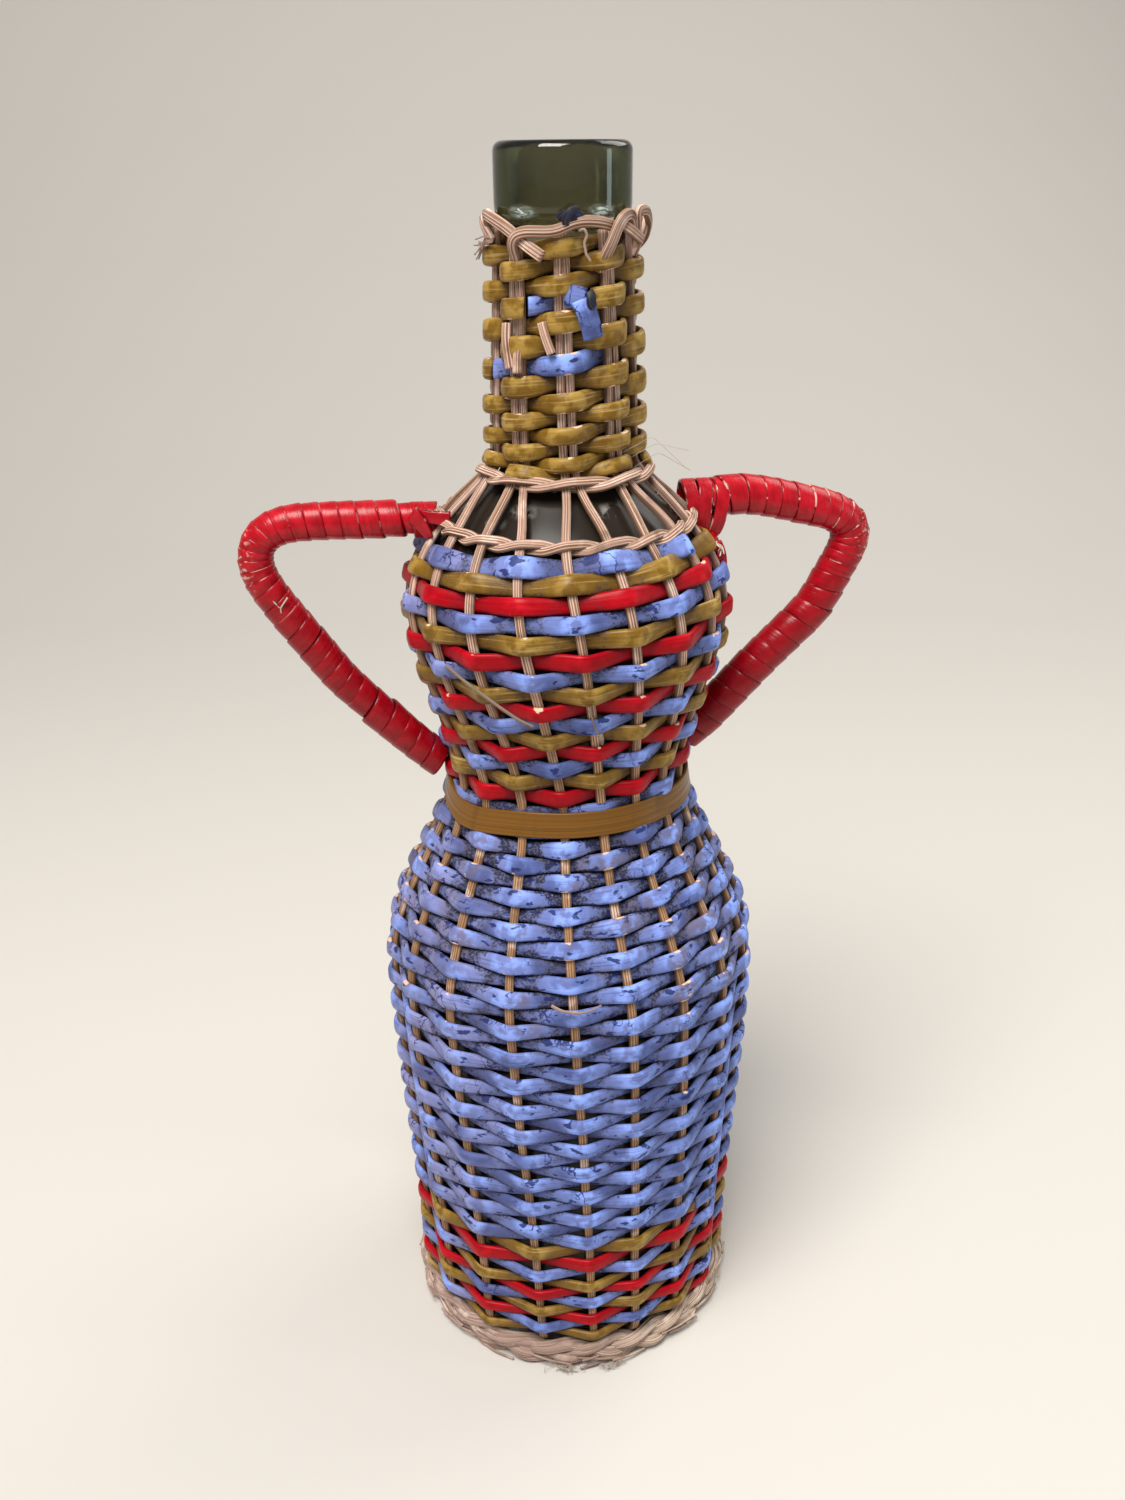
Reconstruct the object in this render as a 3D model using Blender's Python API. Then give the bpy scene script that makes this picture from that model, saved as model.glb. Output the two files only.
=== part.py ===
"""Small wicker demijohn: a green glass double-gourd bottle in a woven cane jacket with two bound handles.

Metres, +Z up. The origin lies on the bottle's axis, on the surface that the foot stands on.
Azimuths are in degrees, 0 at the front (-Y), growing towards +X.
"""
import math

import bmesh
import bpy
from mathutils import Vector

# Clearance left between neighbouring solids
GAP = 0.0003

# Glass bottle: the rise to each stage of its outline from the one below, and its outer radius there
GLASS_BOTTOM = 0.006
BASE_RADIUS = 0.0422
BASE_CORNER = 0.007
BELLY_RISE = 0.110
BELLY_RADIUS = 0.0467
WAIST_RISE = 0.054
WAIST_RADIUS = 0.0279
BOWL_RISE = 0.046
BOWL_RADIUS = 0.0373
SHOULDER_RISE = 0.022
SHOULDER_RADIUS = 0.0260
SHOULDER_SLOPE = -1.0
NECK_FOOT_RISE = 0.0145
NECK_FOOT_RADIUS = 0.0142
NECK_LENGTH = 0.0505
NECK_TOP_RADIUS = 0.0129
LIP_DROP = 0.0035
LIP_RADIUS = 0.0155
LIP_LENGTH = 0.0135
LIP_EDGE = 0.002
LIP_STEPS = 2
BORE_RADIUS = 0.010
GLASS_WALL = 0.003
PUNT_RADIUS = 0.023
PUNT_DEPTH = 0.006
# Points of the hollow under the base, from its crown outwards: shares of its radius and of its depth
PUNT_CURVE = ((0.0, 1.0), (0.6, 0.7), (1.0, 0.0))
GLASS_SIDES = 22

# Upright stakes: an odd number, so that a strand passes over and under in turn on each round
STAKES = 19
STAKE_WIDTH = 0.0023
STAKE_THICKNESS = 0.0018
FRONT_STAKE = 11
FRONT_AZIMUTH = -0.4
LEAN_UPPER = 15.0
LEAN_LOWER = 9.0
# On the body the stakes round one azimuth are pushed to the right, most at the foot and none at this height
SHIFT = 4.2
SHIFT_AZIMUTH = -8.0
SHIFT_SPREAD = 18.0
SHIFT_TOP = 0.230

# Bundles that the stakes are gathered into on the neck
BUNDLES = 9
FRONT_BUNDLE = 5
BUNDLE_AZIMUTH = 1.0

# Weaving strands: three follow one another round the stakes in a rising spiral
STRANDS = 3
STRAND_THICKNESS = 0.001
ROW_GAP = 0.0005
LOWER_ROWS = 39
BAND_ROWS = 10
# The first rows above the foot are packed tighter, at this pitch; the strands then widen over a few rows
PACKED_ROWS = 7.0
PACKED_PITCH = 0.0031
WIDEN_FROM = 7.0
WIDEN_ROWS = 1.5
UPPER_ROWS = 16
# The upper rows fill the bowl from belt to ring; they are counted so that this count lies on the belt
UPPER_START = 0.74
NECK_ROWS = 14
# Neck rows are counted from below the ring; the row of this count rests on it
NECK_START = 1.13
NECK_LIFT = 0.00025
# One neck strand is blue between these bundles, counted along it from its start at the back
BLUE_START = 21
BLUE_END = 25

# Belt, a little below the narrowest part of the waist
BELT_HEIGHT = 0.0058
BELT_THICKNESS = 0.001
BELT_DROP = 0.0040

# Twisted rings of natural reed, below the shoulder's break and below the foot of the neck
SHOULDER_RING_DROP = 0.0015
NECK_RING_DROP = 0.0047
RING_REED = 0.0016
RING_DEPTH = 0.0008
RING_TWIST = 0.0011

# Border round the mouth, foot plait and woven base
BORDER_REED = 0.0022
BORDER_WAVE = 0.0011
BORDER_SIDES = 6
WAVE_STEPS = 4
FOOT_HEIGHT = 0.0072
# How far the plait reaches past the glass base, and its flat underside beyond and inside of that radius
FOOT_REACH = 0.0055
FOOT_SEAT_REACH = 0.0038
FOOT_SEAT_DEPTH = 0.0010
FOOT_PLAIT = 0.0005
FOOT_LOBES = 19
# Shares of the plait's height where its strands stand out, and of the points of its hollow
FOOT_LEVELS = (0.24, 0.52, 0.80)
FOOT_HOLLOW = (0.95, 0.6)
# The mat stops this far inside the glass base's radius
MAT_MARGIN = 0.0108
MAT_BOTTOM = 0.0016
MAT_WEAVE = 0.0004
MAT_RINGS = 4
MAT_SECTORS = 20

# Handles: a cane core with a flat reed wound round it
CORE_RADIUS = 0.003
UPPER_CUT = 38.0
LOWER_CUT = 46.0
WRAP_THICKNESS = 0.0012
WRAP_REED_WIDTH = 0.0034
WRAP_TURNS = 22
WRAP_SIDES = 8
BEND_STEP = 9.0
# A bend takes at most this share of the shorter of the two straights that it joins
FILLET_SHARE = 0.6
LEFT_AZIMUTH = -82.5
RIGHT_AZIMUTH = 101.5
# Corners of each handle's centreline, with their reach, their rise and the radius of the bend there:
# the upper ones from the stakes at the shoulder ring, the lower ones from the stakes at the waist
LEFT_UPPER = [(0.0026, 0.0, 0.0), (0.0411, 0.0010, 0.0095), (0.0456, -0.0105, 0.0095)]
LEFT_LOWER = [(0.0276, 0.0275, 0.060), (0.0033, 0.0022, 0.0)]
RIGHT_UPPER = [(0.0004, 0.0030, 0.0), (0.0235, 0.0020, 0.040), (0.0442, -0.0047, 0.0095),
               (0.0459, -0.0150, 0.0095)]
RIGHT_LOWER = [(0.0316, 0.0330, 0.060), (0.0026, 0.0051, 0.0)]
LASHING_WIDTH = 0.0026
LASHING_THICKNESS = 0.0008
LASHING_SLACK = 0.0011
LASHING_SLOPE = 38.0
LASHING_STEPS = 12
WRAP_START = 0.0058
WRAP_END = 0.0060

# Looks of the reeds and of the glass: red, green, blue and roughness
BLUE = (0.16, 0.27, 0.72, 0.4)
MUSTARD = (0.33, 0.25, 0.03, 0.4)
RED = (0.55, 0.006, 0.01, 0.35)
NATURAL = (0.53, 0.33, 0.19, 0.6)
STRAW = (0.55, 0.42, 0.26, 0.8)
BROWN = (0.25, 0.14, 0.02, 0.4)
GREEN_GLASS = (0.04, 0.16, 0.11, 0.08)

# Heights above the table and radii that follow from these
BELLY_HEIGHT = GLASS_BOTTOM + BELLY_RISE
WAIST_HEIGHT = BELLY_HEIGHT + WAIST_RISE
BOWL_HEIGHT = WAIST_HEIGHT + BOWL_RISE
SHOULDER_HEIGHT = BOWL_HEIGHT + SHOULDER_RISE
NECK_FOOT_HEIGHT = SHOULDER_HEIGHT + NECK_FOOT_RISE
NECK_TOP_HEIGHT = NECK_FOOT_HEIGHT + NECK_LENGTH
LIP_HEIGHT = NECK_TOP_HEIGHT + LIP_DROP
TOTAL_HEIGHT = LIP_HEIGHT + LIP_LENGTH
BELT_CENTRE = WAIST_HEIGHT - BELT_DROP
SHOULDER_RING_HEIGHT = SHOULDER_HEIGHT - SHOULDER_RING_DROP
NECK_RING_HEIGHT = NECK_FOOT_HEIGHT - NECK_RING_DROP
MAT_RADIUS = BASE_RADIUS - MAT_MARGIN

# The stake line lies one strand and two gaps off the glass; strands swing this far to either side of it
STAKE_LINE = GAP + STRAND_THICKNESS + GAP + STAKE_THICKNESS / 2
STRAND_SWING = STAKE_THICKNESS / 2 + GAP + STRAND_THICKNESS / 2


for old in list(bpy.data.objects):
    bpy.data.objects.remove(old, do_unlink=True)


def material(name, look):
    """One Principled material for each sub-part."""
    made = bpy.data.materials.new(name)
    made.use_nodes = True
    shader = made.node_tree.nodes["Principled BSDF"]
    shader.inputs["Base Color"].default_value = (*look[:3], 1.0)
    shader.inputs["Roughness"].default_value = look[3]
    shader.inputs["Metallic"].default_value = 0.0
    return made


def finish(bm, name, look):
    """Turn a bmesh into a named object with outward faces."""
    bmesh.ops.recalc_face_normals(bm, faces=bm.faces)
    mesh = bpy.data.meshes.new(name)
    bm.to_mesh(mesh)
    bm.free()
    mesh.materials.append(material(name, look))
    piece = bpy.data.objects.new(name, mesh)
    bpy.context.collection.objects.link(piece)
    return piece


def sweep(rings, closed=False):
    """Skin a row of equal rings of points, with flat ends unless it runs round to its start."""
    bm = bmesh.new()
    rows = [[bm.verts.new(point) for point in ring] for ring in rings]
    pairs = list(zip(rows, rows[1:]))
    if closed:
        pairs.append((rows[-1], rows[0]))
    else:
        bm.faces.new(rows[0])
        bm.faces.new(rows[-1])
    corners = len(rows[0])
    for low, high in pairs:
        for i in range(corners):
            j = (i + 1) % corners
            bm.faces.new((low[i], low[j], high[j], high[i]))
    return bm


def polar(radius, azimuth, height):
    """Point at a radius and azimuth round the bottle's axis."""
    angle = math.radians(azimuth)
    return Vector((radius * math.sin(angle), -radius * math.cos(angle), height))


def ease(value):
    """Smooth step from 0 to 1."""
    value = min(max(value, 0.0), 1.0)
    return value * value * (3 - 2 * value)


# Outline of the glass, from under the base up to the neck: knots with their slopes, and steps between them
KNOTS = [
    (GLASS_BOTTOM + BASE_CORNER, BASE_RADIUS, 0.0, 3),
    (BELLY_HEIGHT, BELLY_RADIUS, 0.0, 5),
    (WAIST_HEIGHT, WAIST_RADIUS, 0.0, 4),
    (BOWL_HEIGHT, BOWL_RADIUS, 0.0, 4),
    (SHOULDER_HEIGHT, SHOULDER_RADIUS, SHOULDER_SLOPE, 3),
    (NECK_FOOT_HEIGHT, NECK_FOOT_RADIUS, 0.0, 1),
    (NECK_TOP_HEIGHT, NECK_TOP_RADIUS, 0.0, 0),
]
CORNER_STEPS = 3
# Halvings with which a height is found along the outline
HALVINGS = 50


def cubic(z0, r0, m0, z1, r1, m1, t):
    """Radius part-way along a cubic between two knots."""
    span = z1 - z0
    return ((2 * t**3 - 3 * t**2 + 1) * r0 + (t**3 - 2 * t**2 + t) * span * m0
            + (3 * t**2 - 2 * t**3) * r1 + (t**3 - t**2) * span * m1)


def glass_outline():
    """Radius and height pairs up the outside of the glass."""
    points = [(MAT_RADIUS + GAP, GLASS_BOTTOM)]
    for i in range(CORNER_STEPS):
        turn = math.radians(90 * (1 - i / CORNER_STEPS))
        points.append((BASE_RADIUS - BASE_CORNER + BASE_CORNER * math.cos(turn),
                       GLASS_BOTTOM + BASE_CORNER - BASE_CORNER * math.sin(turn)))
    for low, high in zip(KNOTS, KNOTS[1:]):
        for i in range(low[3]):
            t = i / low[3]
            points.append((cubic(*low[:3], *high[:3], t), low[0] + (high[0] - low[0]) * t))
    points.append((NECK_TOP_RADIUS, NECK_TOP_HEIGHT))
    return points


def mitres(points):
    """Outward directions at each point, long enough to keep an offset outline parallel."""
    normals = []
    for (r0, z0), (r1, z1) in zip(points, points[1:]):
        length = math.hypot(r1 - r0, z1 - z0)
        normals.append(((z1 - z0) / length, -(r1 - r0) / length))
    out = [normals[0]]
    for (ar, az), (br, bz) in zip(normals, normals[1:]):
        scale = 1 + ar * br + az * bz
        out.append(((ar + br) / scale, (az + bz) / scale))
    out.append(normals[-1])
    return out


OUTLINE = glass_outline()
OUTWARD = mitres(OUTLINE)
LINE = [(r + STAKE_LINE * nr, z + STAKE_LINE * nz) for (r, z), (nr, nz) in zip(OUTLINE, OUTWARD)]
ALONG = [0.0]
for (r_low, z_low), (r_high, z_high) in zip(LINE, LINE[1:]):
    ALONG.append(ALONG[-1] + math.hypot(r_high - r_low, z_high - z_low))


def on_line(along, out=0.0):
    """Radius and height at a distance up the stake line, moved outwards from it."""
    step = 0
    while step < len(ALONG) - 2 and along > ALONG[step + 1]:
        step += 1
    t = (along - ALONG[step]) / (ALONG[step + 1] - ALONG[step])
    r = LINE[step][0] * (1 - t) + LINE[step + 1][0] * t
    z = LINE[step][1] * (1 - t) + LINE[step + 1][1] * t
    nr = OUTWARD[step][0] * (1 - t) + OUTWARD[step + 1][0] * t
    nz = OUTWARD[step][1] * (1 - t) + OUTWARD[step + 1][1] * t
    return r + out * nr, z + out * nz


def along_at(height):
    """Distance up the stake line at a height."""
    low, high = ALONG[1], ALONG[-1]
    for _ in range(HALVINGS):
        middle = (low + high) / 2
        if on_line(middle)[1] < height:
            low = middle
        else:
            high = middle
    return low


def place(azimuth, along, out=0.0):
    """Point on the jacket: azimuth, distance up the stake line, and distance out from it."""
    r, z = on_line(along, out)
    return polar(r, azimuth, z)


# Stakes: nearly upright canes that lean with the weave and gather into bundles on the neck
GATHER_START = along_at(SHOULDER_RING_HEIGHT)
GATHER_END = along_at(NECK_FOOT_HEIGHT)


def bundle_of(stake):
    """Bundle that a stake joins on the neck."""
    return stake * BUNDLES // STAKES


def bundle_azimuth(bundle):
    """Azimuth of a bundle, also for a count that has run past one round."""
    return BUNDLE_AZIMUTH + (bundle - FRONT_BUNDLE) * 360 / BUNDLES


def stake_azimuth(stake, along):
    """Azimuth of a stake below the neck, also for a count that has run past one round."""
    height = on_line(along)[1]
    below_ring = (SHOULDER_RING_HEIGHT - max(height, WAIST_HEIGHT)) / (SHOULDER_RING_HEIGHT - WAIST_HEIGHT)
    below_waist = max(WAIST_HEIGHT - height, 0.0) / WAIST_HEIGHT
    lean = LEAN_UPPER * max(below_ring, 0.0) + LEAN_LOWER * below_waist
    azimuth = FRONT_AZIMUTH + (stake - FRONT_STAKE) * 360 / STAKES + lean
    aside = (azimuth - SHIFT_AZIMUTH + 180) % 360 - 180
    shift = SHIFT * max(1 - (height / SHIFT_TOP)**2, 0.0)
    return azimuth + shift * math.exp(-(aside / SHIFT_SPREAD)**2 / 2)


def gathered_azimuth(stake, along):
    """Azimuth of a stake anywhere on the jacket, with its place in its bundle on the neck."""
    bundle = bundle_of(stake)
    mates = [other for other in range(STAKES) if bundle_of(other) == bundle]
    side = (mates.index(stake) - (len(mates) - 1) / 2) * (STAKE_WIDTH + GAP)
    share = ease((along - GATHER_START) / (GATHER_END - GATHER_START))
    in_bundle = bundle_azimuth(bundle) + math.degrees(side / on_line(along)[0])
    return stake_azimuth(stake, along) * (1 - share) + in_bundle * share


def stakes():
    """One cane for each stake, from the base mat to the top of the neck."""
    half_width = STAKE_WIDTH / 2
    half_depth = STAKE_THICKNESS / 2
    for stake in range(STAKES):
        rings = []
        for along in ALONG:
            azimuth = gathered_azimuth(stake, along)
            turn = math.radians(azimuth)
            across = Vector((math.cos(turn), math.sin(turn), 0)) * half_width
            inner = place(azimuth, along, -half_depth)
            rings.append([inner - across, inner + across, place(azimuth, along, half_depth)])
        finish(sweep(rings), f"stake_{stake + 1:02d}", NATURAL)


def strand(name, look, stations):
    """A woven strand through stations of azimuth, distance up the stake line, distance out and height."""
    half_depth = STRAND_THICKNESS / 2
    rings = []
    for azimuth, along, out, height in stations:
        corners = [(-height / 2, -half_depth), (height / 2, -half_depth), (0.0, half_depth)]
        rings.append([place(azimuth, along + up, out + off) for up, off in corners])
    finish(sweep(rings), name, look)


def spiral(lead, low, high, rise, over):
    """Stations of one strand that climbs STRANDS rows a round, between two counts of rows."""
    first = math.ceil((low - lead) * STAKES / STRANDS - 0.5)
    last = math.floor((high - lead) * STAKES / STRANDS - 0.5)
    stations = []
    for crossing in range(first, last + 1):
        along, height = rise(lead + crossing * STRANDS / STAKES)
        side = 1 if (crossing + lead) % 2 == over else -1
        stations.append((stake_azimuth(crossing, along), along, side * STRAND_SWING, height))
    return stations


def split(stations, cut):
    """Cut a run of stations into two lengths that butt, a gap apart, half-way between two of them."""
    azimuth, along, *rest = [(before + after) / 2 for before, after in zip(stations[cut - 1], stations[cut])]
    step = math.degrees(GAP / 2 / on_line(along)[0])
    return (stations[:cut] + [(azimuth - step, along, *rest)],
            [(azimuth + step, along, *rest)] + stations[cut:])


def body_weave():
    """Strands on the lower body, with its coloured band at the foot, and on the upper body."""
    belt = along_at(BELT_CENTRE)
    below_belt = belt - BELT_HEIGHT / 2 - ROW_GAP
    above_belt = belt + BELT_HEIGHT / 2 + ROW_GAP
    foot = along_at(FOOT_HEIGHT) + 2 * ROW_GAP
    ring = along_at(SHOULDER_RING_HEIGHT) - RING_TWIST - RING_REED / 2 - ROW_GAP
    loose_pitch = (below_belt - foot - PACKED_PITCH * PACKED_ROWS) / (LOWER_ROWS + 1 - PACKED_ROWS)
    upper_pitch = (ring - above_belt) / UPPER_ROWS

    def lower_rise(row):
        """Distance up the stake line, and strand height, at a count of rows of the lower body."""
        packed = min(row + 0.5, PACKED_ROWS)
        along = foot + PACKED_PITCH * packed + loose_pitch * (row + 0.5 - packed)
        widened = min(max((row - WIDEN_FROM) / WIDEN_ROWS, 0.0), 1.0)
        return along, PACKED_PITCH + (loose_pitch - PACKED_PITCH) * widened - ROW_GAP

    def upper_rise(row):
        """The same on the upper body, where the last crossings are pressed down by the ring."""
        along = above_belt + upper_pitch * (row + 0.5 - UPPER_START)
        height = upper_pitch - ROW_GAP
        return min(along, ring - height / 2), height

    bands = [("lower_band_blue", BLUE), ("lower_band_red", RED), ("lower_band_mustard", MUSTARD)]
    uppers = [("upper_weaver_red", RED), ("upper_weaver_mustard", MUSTARD), ("upper_weaver_blue", BLUE)]
    band_top = lower_rise(BAND_ROWS)[0]
    for lead in range(STRANDS):
        lower = spiral(lead, 0, LOWER_ROWS, lower_rise, 1)
        band, rest = split(lower, sum(station[1] < band_top for station in lower))
        strand(*bands[lead], band)
        strand(f"lower_weaver_blue_{lead + 1}", BLUE, rest)
        strand(*uppers[lead], spiral(lead, UPPER_START, UPPER_ROWS, upper_rise, 0))


def bundle_stations(crossing, along):
    """Azimuths at which a strand bends round one bundle: its outer edges, and the middle one of three."""
    bundle = crossing % BUNDLES
    mates = [stake for stake in range(STAKES) if bundle_of(stake) == bundle]
    edge = math.degrees(STAKE_WIDTH / 2 / on_line(along)[0])
    spots = [gathered_azimuth(stake, along) for stake in mates]
    spots[0] -= edge
    spots[-1] += edge
    return [spot + 360 * (crossing // BUNDLES) for spot in spots]


def neck_weave():
    """Strands round the bundles of the neck; one of them is blue for a short length at the front."""
    ring = along_at(NECK_RING_HEIGHT) + RING_TWIST + RING_REED / 2 + ROW_GAP
    pitch = (ALONG[-1] - ring) / (NECK_ROWS + 1 - NECK_START)
    bottom = ring + pitch * (0.5 - NECK_START)
    height = pitch - ROW_GAP
    for lead in range(STRANDS):
        first = math.ceil((NECK_START - lead) * BUNDLES / STRANDS)
        last = math.floor((NECK_ROWS - lead) * BUNDLES / STRANDS)
        stations = []
        starts = {}
        for crossing in range(first, last + 1):
            out = STRAND_SWING + NECK_LIFT if (crossing + lead) % 2 == 1 else -STRAND_SWING
            middle = bottom + pitch * (lead + crossing * STRANDS / BUNDLES)
            starts[crossing] = len(stations)
            for azimuth in bundle_stations(crossing, middle):
                climb = (azimuth - bundle_azimuth(crossing)) / 360 * STRANDS * pitch
                stations.append((azimuth, middle + climb, out, height))
        if lead == 0:
            rest, high = split(stations, starts[BLUE_END])
            low, blue = split(rest, starts[BLUE_START])
            strand("neck_weaver_1_low", MUSTARD, low)
            strand("neck_weaver_blue", BLUE, blue)
            strand("neck_weaver_1_high", MUSTARD, high)
        else:
            strand(f"neck_weaver_{lead + 1}", MUSTARD, stations)


def waist_belt():
    """Flat band round the waist, outside the stakes."""
    centre = along_at(BELT_CENTRE)
    inner = STAKE_THICKNESS / 2 + GAP
    outer = inner + BELT_THICKNESS
    half = BELT_HEIGHT / 2
    corners = [(-half, inner), (half, inner), (half, outer), (-half, outer)]
    rings = []
    for i in range(2 * STAKES):
        azimuth = stake_azimuth(i / 2, centre)
        rings.append([place(azimuth, centre + up, out) for up, out in corners])
    finish(sweep(rings, closed=True), "waist_belt", BROWN)


def twisted_ring(name, height, posts, azimuths_at):
    """One reed laid twice round the posts, twisting about itself and closing where it began."""
    centre = along_at(height)
    half_height = RING_REED / 2
    half_depth = RING_DEPTH / 2
    outward = STAKE_THICKNESS / 2 + GAP + half_depth
    inward = STAKE_LINE - GAP - half_depth
    rings = []
    for post in range(2 * posts):
        side = 1 if post % 2 == 0 else -1
        here = azimuths_at(post, centre)
        after = azimuths_at(post + 1, centre)
        stations = [(azimuth, outward if side > 0 else -inward, 0.0) for azimuth in here]
        stations.append(((here[-1] + after[0]) / 2, 0.0, side * RING_TWIST))
        for azimuth, out, up in stations:
            corners = [(-half_height, -half_depth), (half_height, -half_depth), (0.0, half_depth)]
            rings.append([place(azimuth, centre + up + a, out + b) for a, b in corners])
    finish(sweep(rings, closed=True), name, NATURAL)


def mouth_border():
    """Stake tails bent over into a scalloped rim below the lip."""
    half = BORDER_REED / 2
    radius = LIP_RADIUS + 2 * GAP + half
    centre = NECK_TOP_HEIGHT + GAP + half + BORDER_WAVE
    rings = []
    steps = WAVE_STEPS * BUNDLES
    for i in range(steps):
        azimuth = BUNDLE_AZIMUTH + 360 * i / steps
        lift = centre + BORDER_WAVE * math.sin(math.tau * i / WAVE_STEPS)
        ring = []
        for side in range(BORDER_SIDES):
            turn = math.tau * side / BORDER_SIDES
            ring.append(polar(radius + half * math.cos(turn), azimuth, lift + half * math.sin(turn)))
        rings.append(ring)
    finish(sweep(rings, closed=True), "mouth_border", NATURAL)


def foot_plait():
    """Plaited roll round the foot: flat below, hollowed to the stakes inside, lobed slantwise outside."""
    hollow = (BASE_CORNER + STAKE_LINE + STAKE_THICKNESS / 2) / math.cos(math.pi / 4 / CORNER_STEPS) + GAP
    centre_r = BASE_RADIUS - BASE_CORNER
    centre_z = GLASS_BOTTOM + BASE_CORNER
    inside = []
    for share in FOOT_HOLLOW:
        level = share * FOOT_HEIGHT
        inside.append((centre_r + math.sqrt(hollow**2 - (centre_z - level)**2), level))
    crown = BASE_RADIUS + FOOT_REACH - FOOT_PLAIT
    strands = len(FOOT_LEVELS)
    rings = []
    for i in range(strands * FOOT_LOBES):
        section = [(BASE_RADIUS - FOOT_SEAT_DEPTH, 0.0), (BASE_RADIUS + FOOT_SEAT_REACH, 0.0)]
        for level, share in enumerate(FOOT_LEVELS):
            lobe = FOOT_PLAIT * math.cos(math.tau * (i + level) / strands)
            section.append((crown + lobe, share * FOOT_HEIGHT))
        section += [((inside[0][0] + crown) / 2, FOOT_HEIGHT), *inside]
        azimuth = 360 * i / (strands * FOOT_LOBES)
        rings.append([polar(r, azimuth, z) for r, z in section])
    finish(sweep(rings, closed=True), "foot_braid", STRAW)


def base_mat():
    """Woven disc under the glass, its strands shown as a raised and sunken check."""
    bm = bmesh.new()
    top = GLASS_BOTTOM - GAP
    layers = []
    for height, relief in ((MAT_BOTTOM, MAT_WEAVE), (top - MAT_WEAVE, MAT_WEAVE)):
        centre = bm.verts.new((0, 0, height))
        loops = []
        for ring in range(1, MAT_RINGS + 1):
            loop = []
            for sector in range(MAT_SECTORS):
                lift = relief if (sector + ring) % 2 else 0.0
                radius = MAT_RADIUS * ring / MAT_RINGS
                loop.append(bm.verts.new(polar(radius, 360 * sector / MAT_SECTORS, height + lift)))
            loops.append(loop)
        layers.append(loops)
        for i in range(MAT_SECTORS):
            j = (i + 1) % MAT_SECTORS
            bm.faces.new((centre, loops[0][i], loops[0][j]))
            for inner, outer in zip(loops, loops[1:]):
                bm.faces.new((inner[i], outer[i], outer[j]))
                bm.faces.new((inner[i], outer[j], inner[j]))
    for i in range(MAT_SECTORS):
        j = (i + 1) % MAT_SECTORS
        bm.faces.new((layers[0][-1][i], layers[0][-1][j], layers[1][-1][j]))
        bm.faces.new((layers[0][-1][i], layers[1][-1][j], layers[1][-1][i]))
    finish(bm, "base_mat", STRAW)


def glass_bottle():
    """Blown bottle turned from one closed profile: outside, lip, bore and inside."""
    profile = [(share * PUNT_RADIUS, GLASS_BOTTOM + rise * PUNT_DEPTH) for share, rise in PUNT_CURVE]
    profile += OUTLINE[1:]
    profile.append((LIP_RADIUS, LIP_HEIGHT))
    for i in range(LIP_STEPS + 1):
        turn = math.pi / 2 * i / LIP_STEPS
        profile.append((LIP_RADIUS - LIP_EDGE + LIP_EDGE * math.cos(turn),
                        TOTAL_HEIGHT - LIP_EDGE + LIP_EDGE * math.sin(turn)))
    profile.append((BORE_RADIUS + LIP_EDGE / 2, TOTAL_HEIGHT))
    profile.append((BORE_RADIUS, TOTAL_HEIGHT - LIP_EDGE))
    # The inside follows every other point of the outline, from the top of its base corner to the neck
    inside = [(r - GLASS_WALL * nr, z - GLASS_WALL * nz) for (r, z), (nr, nz) in zip(OUTLINE, OUTWARD)]
    profile += reversed(inside[CORNER_STEPS:-1:2])
    for share, rise in reversed(PUNT_CURVE):
        profile.append((share * PUNT_RADIUS, GLASS_BOTTOM + GLASS_WALL + rise * PUNT_DEPTH))
    bm = bmesh.new()
    verts = [bm.verts.new((r, 0, z)) for r, z in profile]
    edges = [bm.edges.new(pair) for pair in zip(verts, verts[1:])]
    bmesh.ops.spin(bm, geom=verts + edges, axis=(0, 0, 1), cent=(0, 0, 0), angle=math.tau,
                   steps=GLASS_SIDES, use_merge=True)
    bmesh.ops.remove_doubles(bm, verts=bm.verts, dist=GAP / 30)
    finish(bm, "glass_bottle", GREEN_GLASS)


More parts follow.
